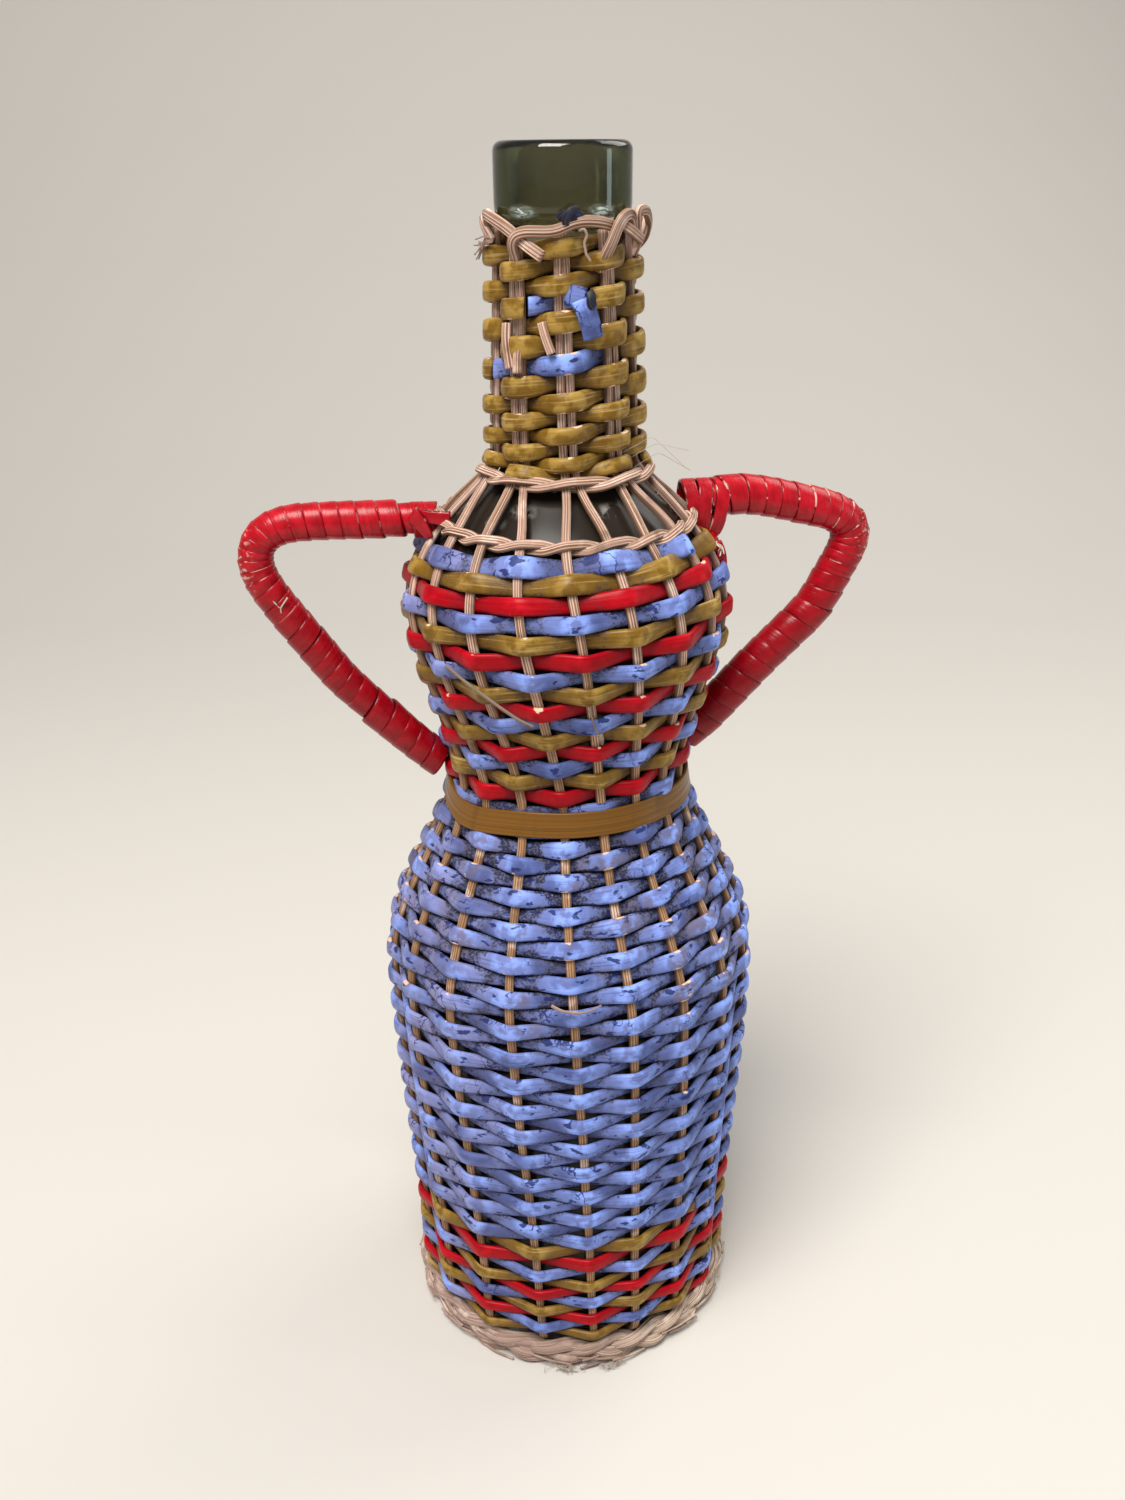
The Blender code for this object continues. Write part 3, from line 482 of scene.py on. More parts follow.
# Foot plait
# Straw laid round the foot in three loose strands that are plaited over one another; the bottle
# stands on them. Broken straws and a little fluff stick out here and there.
def tail(name, points, width=0.0024, depth=0.0016, look=cane, nodes=("mouth_border",),
         section=grooved, spacing=0.0006, reach=4, start=0.0, taper=0.0, over=0.0, facing=None):
    """A bent length through points of azimuth, radius and height, its broad face outwards or towards
    the azimuth that facing gives; taper is the share of its size lost at its end."""
    points = np.array(points, float)
    corners = polar(points[:, 1], points[:, 0], points[:, 2])
    run = run_along(corners)
    s = np.linspace(0, run[-1], max(int(run[-1] / spacing), 6))
    rows = soften(read_at(s, run, np.column_stack([corners, points[:, 0]])), reach)
    path, outwards = rows[:, :3], polar(np.ones(len(s)), rows[:, 3] if facing is None else facing, 0.0)
    heading = heading_of(path)
    sideways = unit(np.cross(outwards, heading))
    outwards = np.cross(heading, sideways)
    size = (1 - taper * s / s[-1])[:, None]
    reed(name, path, sideways * width * size, outwards * depth * size, section, look, list(nodes),
         start=start, over=over)


round_straw, hair_round = oval(8, 1.0), oval(5, 1.0)


def hair(name, points, thick, look, node, spacing, start, reach=2):
    """A loose fibre."""
    tail(name, points, thick, thick, look, (node,), hair_round, spacing, reach, start)


dice = np.random.default_rng(11)
plait_r, plait_z, lowest = 0.0444, 0.0041, 0.0006
strands, straws_a_strand, waves_round = 3, 7, 7
turns = np.linspace(0, 360, 460, endpoint=False)
outwards = unit(polar(1.0, turns, 0.35))
for number in range(strands * straws_a_strand):
    straw_in, strand = divmod(number, strands)
    phase = np.radians(turns * waves_round) + strand * math.tau / strands
    phase = phase + 0.3 * np.sin(np.radians(turns * 2))
    spread = straw_in * math.tau / straws_a_strand + np.radians(turns * 2) + strand
    fray = 0.0004 * np.sin(np.radians(turns * dice.integers(5, 13) + dice.uniform(0, 360)))
    r = plait_r + 0.0011 * np.sin(2 * phase) + (0.0011 + fray) * np.cos(spread)
    z = plait_z + 0.0019 * np.sin(phase) + (0.0009 + fray) * np.sin(spread)
    path = polar(r, turns, np.maximum(z, lowest))
    thick = dice.uniform(0.0013, 0.0021)
    reed(f"foot_straw_{number + 1:02d}", path, np.cross(outwards, heading_round(path)) * thick * 1.25,
         outwards * thick * 0.8, round_straw, straw, ["foot_braid"], closed=True,
         start=number * 1.3)
for number in range(46):
    azimuth, z = dice.uniform(-180, 180), dice.uniform(0.001, 0.0065)
    reach_of, lift, bend = dice.uniform(6, 18), dice.uniform(-0.0015, 0.002), dice.uniform(0.0001, 0.0012)
    way = 1 if number % 2 else -1
    tail(f"foot_broken_straw_{number + 1:02d}",
         [(azimuth, 0.0466, z), (azimuth + way * reach_of * 0.5, 0.0476, z + lift * 0.3),
          (azimuth + way * reach_of, 0.0474 + bend, max(z + lift, 0.0005))],
         dice.uniform(0.0005, 0.0010), 0.0006, straw, ("foot_braid",), round_straw,
         spacing=0.0009, reach=2, start=number * 0.9)
fibre = grown("pale_fibre", (0.62, 0.52, 0.44), (0.46, 0.37, 0.30), (0.25, 0.18, 0.14), 0.9)
# Two tufts of fluff at the front
for number in range(40):
    azimuth = (-2.5 if number < 24 else 13.0) + dice.normal(0, 1.6)
    hair(f"foot_fluff_{number + 1:02d}",
         [(azimuth, 0.0475, 0.0014), (azimuth + dice.uniform(-3, 3), 0.0488, dice.uniform(0.0002, 0.003)),
          (azimuth + dice.uniform(-4, 4), dice.uniform(0.0485, 0.0502), dice.uniform(0.0002, 0.0030))],
         0.00018, fibre, "foot_braid", 0.0005, number * 0.5)


# Lower weave
# Three flat painted strands chase one another round the stakes, over one and under the next, and
# climb three rows a round. The lowest ten rows are blue, red and mustard; above them all are blue.
def cracks_across(made, length, across, metric):
    """1 on thin cracks that run every way, mostly across the reed."""
    cells = made.joined(made.times(length, 260.0), made.times(across, 0.9))
    warp = made.add("TexNoise", {"Vector": metric, "Scale": 500}, output=1)
    cells = made.add("VectorMath", {0: cells, 1: warp}, operation="ADD")
    from_edge = made.add("TexVoronoi", {"Vector": cells, "Scale": 1.0}, feature="DISTANCE_TO_EDGE")
    return made.band(from_edge, 0.05, 0.02)


def painted(name, main, crest_highlight, deep, wood, grime_and_shade, streaks, wear, chips, roughness, cracks=0.0, cool=None,
            shine=0.13, marks=None):
    """Dyed reed: streaks along the grain, a painted highlight on its crests, dark worn edges and dips that
    also carry painted shade, cracks, and chips at its high edges.
    marks adds what only some of the reed shows."""
    made = Finish(name)
    length, across, over = reed_places(made)
    z = made.axis("Z")
    aside = made.math("ABSOLUTE", across)
    metric = made.joined(length, made.times(across, 0.004))
    grain = made.noise(made.joined(made.times(length, 55.0), made.times(across, 7.0)), 1.0, 4)
    mottle = made.noise(metric, 330, 4)
    patch = made.noise(metric, 75, 2)
    rubbed_grey, pinhole_black = (0.15, 0.12, 0.16), (0.02, 0.025, 0.06)
    coat_below, bare_wood = (0.014, 0.022, 0.11), (0.74, 0.50, 0.36)
    # Painted highlight: a lighter tone in patches, only on the crests where the strand passes over a stake
    colour = made.coat(main, crest_highlight, made.band(mottle, 0.40, 0.60), made.band(over, 0.0, 0.9))
    if cool:
        # Paler, greyer patches on the left side
        leftwards = made.band(made.axis("X"), -0.004, -0.040)
        colour = made.coat(colour, cool, leftwards, made.band(patch, 0.30, 0.62), 0.8)
    colour = made.coat(colour, wood, made.band(grain, 0.55, 0.72), streaks)
    colour = made.coat(colour, deep, made.band(grain, 0.46, 0.30), 0.45)
    # Whole lengths of the reed took the dye darker than others
    colour = made.coat(colour, deep, made.band(made.noise(metric, 48, 2), 0.50, 0.62), 0.62 * wear)
    # Hands hold the bottle just under the waist, where patches are rubbed to a brownish grey
    held = made.times(made.band(z, 0.110, 0.122), made.band(z, 0.168, 0.154))
    rubbed = made.times(held, 0.7 * cracks, made.band(made.noise(made.where(), 62, 2), 0.52, 0.62))
    colour = made.coat(colour, rubbed_grey, rubbed, made.band(mottle, 0.66, 0.42))
    # Worn, grimy and in painted shade towards the dips, where a strand goes under a stake, and towards its
    # edges; most under the waist, with pinholes there
    heavy = made.plus(0.60, made.times(made.band(z, 0.080, 0.125), 0.40),
                      made.times(made.band(z, 0.140, 0.156), made.band(z, 0.176, 0.168)))
    heavy = made.minus(heavy, made.times(made.band(z, 0.176, 0.186), 0.3))
    dip, rim = made.band(over, 0.62, -0.30), made.band(aside, 0.26, 0.52)
    wear_and_shade = made.plus(made.times(dip, 0.42), made.times(rim, 0.22), made.times(made.minus(mottle, 0.5), 0.9))
    wear_and_shade = made.math("MULTIPLY", made.times(made.band(wear_and_shade, 0.22, 0.62), heavy), wear, clamp=True)
    colour = made.coat(colour, grime_and_shade, wear_and_shade, 0.85)
    holes = made.band(made.minus(made.noise(metric, 1500, 2), made.times(wear_and_shade, 0.13)), 0.42, 0.36)
    colour = made.coat(colour, pinhole_black, holes, wear_and_shade, 0.9)
    # Dark cracks across the paint in some places, and blots of the darker coat below
    crack = made.times(cracks_across(made, length, across, metric), made.band(patch, 0.54, 0.60))
    flecks = made.stretched(metric, 0.6, 1.2, 1.0)
    blot = made.band(made.noise(flecks, 360, 3), 0.61, 0.655)
    crack = made.times(made.math("MAXIMUM", crack, blot), cracks)
    colour = made.coat(colour, coat_below, crack, 0.9)
    # Bare wood at the edges that stand out, most where hands hold it and above the waist
    edge = made.times(made.band(aside, 0.30, 0.5), made.band(over, 0.5, 0.95))
    chip = made.plus(made.times(edge, 0.25), made.noise(flecks, 420, 3),
                     made.times(made.plus(held, rubbed), 0.085),
                     made.times(made.band(z, 0.180, 0.190), 0.08),
                     made.times(made.band(z, 0.086, 0.070), -0.04))
    chip = made.band(chip, 0.825 - chips, 0.85 - chips)
    colour = made.mix(chip, colour, bare_wood)
    made.bump(made.minus(made.plus(grain, made.times(mottle, 0.8)),
                         made.plus(crack, chip, made.times(holes, wear_and_shade))), 0.5, 0.00022)
    if marks:
        colour = marks(made, colour, deep, aside, metric)
    return made.surface(Base_Color=colour, Roughness=made.plus(roughness, made.times(wear_and_shade, 0.3)),
                        Specular_IOR_Level=shine)


blue = painted("blue_paint", main=(0.143, 0.189, 0.460), crest_highlight=(0.270, 0.400, 0.95),
               deep=(0.035, 0.045, 0.150), wood=(0.30, 0.31, 0.50), grime_and_shade=(0.080, 0.070, 0.095),
               cool=(0.25, 0.24, 0.42), streaks=0.25, cracks=1.0, wear=1.1, chips=0.0, roughness=0.42)
mustard = painted("mustard_dye", main=(0.180, 0.094, 0.010), crest_highlight=(0.36, 0.222, 0.048),
                  deep=(0.095, 0.042, 0.006), wood=(0.55, 0.38, 0.17), grime_and_shade=(0.08, 0.04, 0.015),
                  streaks=0.6, wear=0.85, chips=-0.03, roughness=0.34, shine=0.2)
red = painted("red_paint", main=(0.34, 0.001, 0.006), crest_highlight=(0.47, 0.003, 0.012),
              deep=(0.16, 0.001, 0.003), wood=(0.50, 0.05, 0.05), grime_and_shade=(0.10, 0.006, 0.008),
              streaks=0.10, wear=0.55, chips=-0.01, roughness=0.36)
flat_reed = oval(14, 0.55, 0.68)
strand_count = 3
# How far a strand swings to either side of the stake line
swing = 0.0017


def woven(name, stops, look, node, seed, fill=0.97, swell=0.14, thick=0.0015, spacing=0.0010, reach=2,
          blunt=0.0):
    """A strand pulled straight from stop to stop: azimuth, distance up the stake line, distance out
    and the height of its row, which it fills by a share; it is widest where it passes over a stake,
    and blunt keeps it wide for longer."""
    stops = np.array(stops)
    corners = place(*stops.T[:3])
    run = run_along(corners)
    s = np.linspace(0, run[-1], int(run[-1] / spacing))
    rows = soften(read_at(s, run, np.column_stack([corners, stops])), reach)
    path, (azimuth, rise, out, height) = rows[:, :3], rows[:, 3:].T
    upwards = upwards_at(azimuth, rise, out)
    path = path + upwards * (0.00014 * wander(s, 0.007, seed))[:, None]
    outwards = unit(np.cross(np.gradient(path, axis=0), upwards))
    over = out / swing
    bulge = swell * np.clip(over + blunt, -1, 1 + blunt / 4)
    width = height * (fill + bulge + 0.05 * wander(s, 0.009, seed + 500))
    reed(name, path, upwards * width[:, None], outwards * thick, flat_reed, look, [node],
         over=over, start=seed * 7.0)


def spiral(lead, low, high, rise, over, run_on=0):
    """Stops of one strand, which climbs a row for every strand a round, between two counts of rows.
    It passes outside every second stake, even or odd as over says, and starts behind one."""
    first = math.ceil((low - lead) * stake_count / strand_count - 0.5)
    first -= (first + lead) % 2 == over
    last = math.floor((high - lead) * stake_count / strand_count - 0.5) + run_on
    stops = []
    for crossing in range(first, last + 1):
        up, height = rise(lead + crossing * strand_count / stake_count)
        side = 1 if (crossing + lead) % 2 == over else -1
        stops.append((stake_azimuth(crossing, up), up, side * swing, height))
    return stops


belt_up, belt_sag, sags_at = along_at(0.1660), 0.0030, -56


def belt_rise(azimuth):
    """Distance up the stake line of the middle of the belt, which sags at the left."""
    return belt_up + 0.0005 - belt_sag * np.exp(-(aside_of(azimuth, sags_at) / 24) ** 2)


def pressed(stops):
    """The same stops, flatter and narrower near the belt, which the ends of the strands run behind."""
    eased = []
    for azimuth, up, out, height in stops:
        free = min(max((abs(up - belt_rise(azimuth)) - 0.0029) / 0.0022, 0.1), 1.0)
        eased.append((azimuth, up, out * free, height * (0.72 + 0.28 * free)))
    return eased


lower_rows, coloured_rows, tight_rows, tight_pitch = 40, 10, 7, 0.0031
foot_up = along_at(0.0072) + 0.001
loose_pitch = (belt_up - 0.0023 - foot_up - tight_rows * tight_pitch) / (lower_rows - tight_rows)


def lower_rise(row):
    """Distance up the stake line, and height of the row; the lowest rows are packed tighter."""
    packed = min(row + 0.5, tight_rows)
    height = tight_pitch + (loose_pitch - tight_pitch) * min(max((row - tight_rows) / 1.5, 0), 1)
    return foot_up + tight_pitch * packed + loose_pitch * (row + 0.5 - packed), height


for lead, (colour, look) in enumerate([("blue", blue), ("red", red), ("mustard", mustard)]):
    stops = pressed(spiral(lead, 0, lower_rows, lower_rise, 1))
    cut = sum(stop[1] < lower_rise(coloured_rows)[0] for stop in stops)
    splice = tuple((a + b) / 2 for a, b in zip(stops[cut - 1], stops[cut]))
    woven(f"foot_row_{colour}", stops[:cut] + [splice], look, f"lower_band_{colour}",
          10 + lead)
    woven(f"lower_row_blue_{lead + 1}", [splice] + stops[cut:], blue,
          f"lower_weaver_blue_{lead + 1}", 20 + lead)

# Belt
# One broad brown reed bound round the waist outside the stakes, its ends overlapped at the back.
belt = grown("brown_belt", (0.195, 0.086, 0.010), (0.160, 0.066, 0.007), (0.08, 0.030, 0.004), 0.28,
             streak=6.0)
belt_width, belt_depth = 0.0065, 0.0010
turn = np.linspace(170, 535, 240)
rise = belt_rise(turn) + 0.0002 * np.sin(np.radians(turn * 3))
path = place(turn, rise, 0.0014 + 0.0008 * (turn > 528))
sideways = upwards_at(turn, rise)
outwards = unit(np.cross(np.gradient(path, axis=0), sideways))
ledge = np.array([(-0.5, -0.5), (-0.5, 0.3), (-0.44, 0.5), (-0.38, 0.34), (-0.2, 0.42), (0.0, 0.44),
                  (0.2, 0.42), (0.38, 0.34), (0.44, 0.5), (0.5, 0.3), (0.5, -0.5)])[::-1]
reed("waist_belt_reed", path, sideways * belt_width, outwards * belt_depth, ledge, belt,
     ["waist_belt"])

# Upper weave
# The same weave on the bowl of the bottle, with one strand each of red, mustard and blue.
# The strands nearly touch, so only slivers of the stakes show between them.
upper_pitch = 0.00434
upper_start = belt_up + 0.0042 - 0.737 * upper_pitch


def upper_rise(row):
    """Distance up the stake line, and height of the row; the last row is pressed down by the ring."""
    height = upper_pitch * (1 + 0.2 * min(max(row - 14.2, 0), 1))
    return min(upper_start + upper_pitch * row, ring_up - 0.0020 - upper_pitch / 2), height


for lead, (colour, look) in enumerate([("red", red), ("mustard", mustard), ("blue", blue)]):
    stops = pressed(spiral(lead, -0.5, 16, upper_rise, 0, 2 if colour == "blue" else 0))
    woven(f"upper_row_{colour}", stops, look, f"upper_weaver_{colour}", 30 + lead,
          swell=0.07)

# Twisted rings
# Two natural reeds are twisted about each other round the stakes, above the body's weave and
# again under the neck's, and hold the stakes apart over the open shoulder.
neck_ring_height, ring_reed_width, ring_reed_depth = 0.2478, 0.0023, 0.0011


def twisted_ring(name, height, posts, azimuth_of, node, seed, clear_by=0.0):
    """One reed that runs round twice, before and behind the posts in turn, clear of the line by so much."""
    centre = along_at(height)
    stops = []
    for post in range(2 * posts):
        here, after = azimuth_of(post, centre), azimuth_of(post + 1, centre)
        side = 1 if post % 2 == 0 else -1
        stops.append((here, centre, clear_by + (0.0017 if side > 0 else -0.0014)))
        stops.append(((here + after) / 2, centre + side * 0.0010, clear_by))
    stops = np.array(stops + [(stops[0][0] + 720, *stops[0][1:])])
    s = np.linspace(0, len(stops) - 1, 16 * 2 * posts, endpoint=False)
    rows = read_at(s, np.arange(len(stops)), stops)
    rows[:, 1:] = soften(rows[:, 1:], 3, closed=True)
    path = place(*rows.T)
    upwards = upwards_at(rows[:, 0], rows[:, 1])
    outwards = unit(np.cross(heading_round(path), upwards))
    reed(name, path, upwards * ring_reed_width, outwards * ring_reed_depth, grooved, cane,
         [node], start=seed, closed=True)


twisted_ring("shoulder_twist", ring_height, stake_count, stake_azimuth, "shoulder_ring", 90)
twisted_ring("neck_twist", neck_ring_height, bundle_count, bundle_azimuth, "neck_ring", 92, 0.0009)

# Neck weave
# Mustard reed goes over and under the nine bundles and fills the neck tightly. One strand was
# pieced out with blue over the front bundle and again two rounds above, where its end hangs out.
neck_bottom = along_at(neck_ring_height) + 0.0024
crossings_a_row = bundle_count // strand_count


def neck_rise(row):
    """Distance up the stake line of a row of the neck; the middle rows are the widest."""
    rows = (0, 1.67, 3.67, 5.67, 7.67, 9.67, 11.67, 13.67, 15)
    rises = (-0.0012, 0.0034, 0.0100, 0.0172, 0.0257, 0.0347, 0.0427, 0.0502, 0.0552)
    return neck_bottom + np.interp(row, rows, rises)


def bundle_stops(crossing, rise):
    """Azimuths of the two outer edges of a bundle."""
    rounds, bundle = divmod(crossing, bundle_count)
    mates = mates_in(bundle)
    edge = np.degrees(0.35 * stake_width / np.interp(rise, along, line_r))
    return [gathered_azimuth(mates[0], rise) - edge + 360 * rounds,
            gathered_azimuth(mates[-1], rise) + edge + 360 * rounds]


def length_of(stops, begin, end):
    """The part of a run of stops between two places in it, which may fall between stops."""
    ends = []
    for index in (begin, end):
        low = min(int(index), len(stops) - 2)
        ends.append(tuple(a + (b - a) * (index - low) for a, b in zip(stops[low], stops[low + 1])))
    return [ends[0]] + stops[int(begin) + 1:math.ceil(end)] + [ends[1]]


for lead in range(strand_count):
    stops = []
    for crossing in range(1 - lead * crossings_a_row, 43 - lead * crossings_a_row):
        row = lead + crossing / crossings_a_row
        wide = max(neck_rise(row + 0.5) - neck_rise(row - 0.5), 0.0031)
        out = swing + 0.00045 if (crossing + lead) % 2 == 1 else -swing
        for azimuth in bundle_stops(crossing, neck_rise(row)):
            aside = (azimuth - bundle_azimuth(crossing, neck_rise(row))) / (strand_count * 360 / bundle_count)
            stops.append((azimuth, neck_rise(row) + aside * wide, out, wide))
    # Stops between which each length of the strand runs, its colour and the node that it stands for
    lengths = [(0, len(stops) - 1, "mustard", f"neck_weaver_{lead + 1}")]
    if lead == 0:
        lengths = [(0, 41.2, "mustard", "neck_weaver_1_low"), (41.2, 47.2, "blue", "neck_weaver_blue"),
                   (47.2, 61.2, "mustard", "neck_weaver_1_high"), (61.2, 63.55, "blue", "neck_weaver_1_high"),
                   (63.55, 83, "mustard", "neck_weaver_1_high")]
    for part, (begin, end, colour, node) in enumerate(lengths):
        look, fill, swell = (blue, 1.0, 0.06) if colour == "blue" else (mustard, 0.92, 0.24)
        woven(f"neck_row_{lead + 1}_{part + 1}_{colour}", length_of(stops, begin, end), look,
              node, 60 + lead * 3 + part, fill, swell, thick=0.0017, spacing=0.0007,
              reach=3, blunt=0.45)

# Mouth border
# The stake tails are bent over to the right under the collar, each behind the next, and their
# cut ends stick out. One tail stands up in a loop at the right.
for number, (width, bends) in enumerate((
        (0.0026, [(-81, 0.0160, 0.2975), (-83, 0.0168, 0.3010), (-84, 0.0174, 0.3045), (-78, 0.0178, 0.3062),
                  (-64, 0.0180, 0.3056), (-46, 0.0180, 0.3038), (-34, 0.0178, 0.3015), (-24, 0.0188, 0.2998),
                  (-13, 0.0198, 0.2977)]),
        (0.0025, [(-39, 0.0160, 0.2940), (-38, 0.0172, 0.2975), (-37, 0.0190, 0.3000), (-34, 0.0195, 0.3022),
                  (-26, 0.0192, 0.3031), (-10, 0.0188, 0.3029), (-2, 0.0187, 0.3033), (4, 0.0187, 0.3045),
                  (14, 0.0186, 0.3051), (28, 0.0184, 0.3047), (38, 0.0176, 0.3038)]),
        (0.0025, [(30, 0.0160, 0.2940), (31, 0.0175, 0.2975), (33, 0.0193, 0.3002), (38, 0.0194, 0.3040),
                  (45, 0.0190, 0.3060), (54, 0.0184, 0.3062), (62, 0.0176, 0.3048), (70, 0.0168, 0.3020)]),
        (0.0024, [(78, 0.0165, 0.2985), (70, 0.0178, 0.3035), (62, 0.0186, 0.3066), (72, 0.0194, 0.3068),
                  (84, 0.0196, 0.3044), (88, 0.0190, 0.3012), (96, 0.0172, 0.2990)]))):
    tail(f"border_tail_{number + 1}", bends, width, start=3 + number)
tail("border_tail_4_end", [(44, 0.0180, 0.3044), (50, 0.0192, 0.3030), (62, 0.0200, 0.3004)], start=7)
for bundle in range(7, 12):
    azimuth = bundle_azimuth(bundle, top)
    lift = 0.0008 * math.sin(bundle * 2.3)
    tail(f"border_tail_{bundle - 2}",
         [(azimuth, 0.0160, 0.2965), (azimuth + 1, 0.0182, 0.3015), (azimuth + 8, 0.0188, 0.3042 + lift),
          (azimuth + 26, 0.0186, 0.3046 + lift), (azimuth + 40, 0.0178, 0.3030),
          (azimuth + 50, 0.0165, 0.3000)], start=bundle)
# Loose ends of stakes that were pieced, lying over the weave of the neck
for number, (stake, ends) in enumerate((
        (9, [(-46, 0.0180, 0.2840), (-44, 0.0190, 0.2800), (-40, 0.0192, 0.2735)]),
        (10, [(-36, 0.0175, 0.2790), (-34, 0.0190, 0.2770), (-34, 0.0192, 0.2725)]),
        (11, [(-16, 0.0186, 0.2846), (-13, 0.0196, 0.2815), (-8, 0.0198, 0.2772)]))):
    tail(f"loose_stake_end_{number + 1}", ends, 0.0021, 0.0015, nodes=(f"stake_{stake:02d}",),
         start=14 + number)
# A blue end that hangs out of the weave, and a blue scrap under the collar
navy = painted("navy_paint", main=(0.009, 0.010, 0.020), crest_highlight=(0.022, 0.026, 0.055),
               deep=(0.004, 0.004, 0.008), wood=(0.10, 0.08, 0.09), grime_and_shade=(0.012, 0.010, 0.014),
               streaks=0.5, cracks=1.0, wear=0.6, chips=-0.2, roughness=0.45, shine=0.3)


def blue_bit(name, look, points, width, depth, start, over=0.0, spacing=0.0006, reach=4):
    """A loose bit of the blue length of the neck's weave."""
    tail(name, points, width, depth, look, ("neck_weaver_1_high",), flat_reed, spacing, reach,
         start, over=over)


blue_bit("hanging_blue_root", blue,
         [(0, 0.0172, 0.2899), (5, 0.0186, 0.2898), (10, 0.0198, 0.2894), (14.5, 0.0203, 0.2890)],
         0.0050, 0.0009, 47.3, over=0.1)
blue_bit("hanging_blue_end", blue,
         [(10.5, 0.0203, 0.2896), (12, 0.0210, 0.2880), (14.5, 0.0212, 0.2856), (17, 0.0208, 0.2828),
          (18.5, 0.0205, 0.2805)], 0.0047, 0.0008, 41, over=0.75)
blue_bit("hanging_blue_crumple", navy,
         [(15, 0.0204, 0.2908), (16.5, 0.0212, 0.2899), (15.5, 0.0216, 0.2886), (17.5, 0.0212, 0.2876)],
         0.0022, 0.0010, 48.6, spacing=0.0004, reach=2)
blue_bit("blue_scrap", navy,
         [(-1, 0.0170, 0.3052), (1, 0.0178, 0.3062), (5, 0.0186, 0.3056), (8, 0.0184, 0.3064),
          (12, 0.0176, 0.3052)], 0.0030, 0.0016, 43.4, spacing=0.0004)
blue_bit("blue_scrap_fold", navy,
         [(2, 0.0184, 0.3034), (1, 0.0192, 0.3054), (5, 0.0194, 0.3074), (10, 0.0184, 0.3072)],
         0.0018, 0.0010, 45.1, spacing=0.0004)
# A curl of straw under the collar, and frayed fibres at its left
tail("straw_curl",
     [(10, 0.0188, 0.3030), (13, 0.0198, 0.3036), (15, 0.0198, 0.3022), (13, 0.0196, 0.3008),
      (14, 0.0200, 0.2984), (17, 0.0202, 0.2968)], 0.0006, 0.0004, straw, ("mouth_border",),
     round_straw, spacing=0.0003, reach=2)
for number in range(14):
    spread = dice.uniform(-1, 1)
    hair(f"frayed_fibre_{number + 1:02d}",
         [(-62, 0.0176, 0.3005), (-70 + 4 * spread, 0.0184, 0.3008 + 0.0012 * dice.uniform(-1, 1)),
          (-80 + 9 * dice.uniform(-1, 1), 0.0192 + 0.0016 * dice.uniform(0, 1), 0.2988 + 0.003 * spread)],
         0.0003, straw, "mouth_border", 0.0004, number * 0.3)


# Handles
# A bent cane core on each side, bound closely with flat red reed whose turns just overlap.
# The upper end is tied to the shoulder ring with the same reed; the lower end goes into the weave.
def marks_of_winding(made, colour, deep, aside, metric):
    """The wrap of a handle is darker on the leg than on top, a painted shade. Its turns darken with painted
    shade where they meet, fray here and there, most at the right, and are rubbed pale on the bend."""
    x, z = made.axis("X"), made.axis("Z")
    seam_shade, frayed_pale = (0.05, 0.001, 0.003), (0.68, 0.42, 0.35)
    # Painted shade: darker down the leg than on top
    colour = made.coat(colour, deep, made.band(z, 0.232, 0.205), 0.5)
    # Painted shade in the seams, where each turn laps the one before
    colour = made.coat(colour, seam_shade, made.band(aside, 0.42, 0.49), 0.75)
    on_bend = made.times(made.band(made.math("ABSOLUTE", x), 0.0745, 0.0780),
                         made.band(made.noise(metric, 700, 3), 0.56, 0.62), 0.75)
    right_more = made.plus(0.3, made.times(made.band(x, -0.01, 0.01), 0.55))
    frayed = made.times(made.band(aside, 0.40, 0.47), made.band(made.noise(metric, 260, 3), 0.57, 0.62),
                        made.band(z, 0.205, 0.225), right_more)
    return made.mix(made.math("MAXIMUM", frayed, on_bend), colour, frayed_pale)


red_wrap = painted("red_handle_paint", main=(0.34, 0.001, 0.007), crest_highlight=(0.46, 0.004, 0.014),
                   deep=(0.16, 0.001, 0.003), wood=(0.55, 0.07, 0.06), grime_and_shade=(0.11, 0.006, 0.008),
                   streaks=0.12, wear=0.4, chips=-0.05, roughness=0.27, shine=0.28, marks=marks_of_winding)
wrap_section = oval(14, 0.22, 0.7)
core_width, wrap_depth, points_a_turn = 0.0056, 0.0008, 36


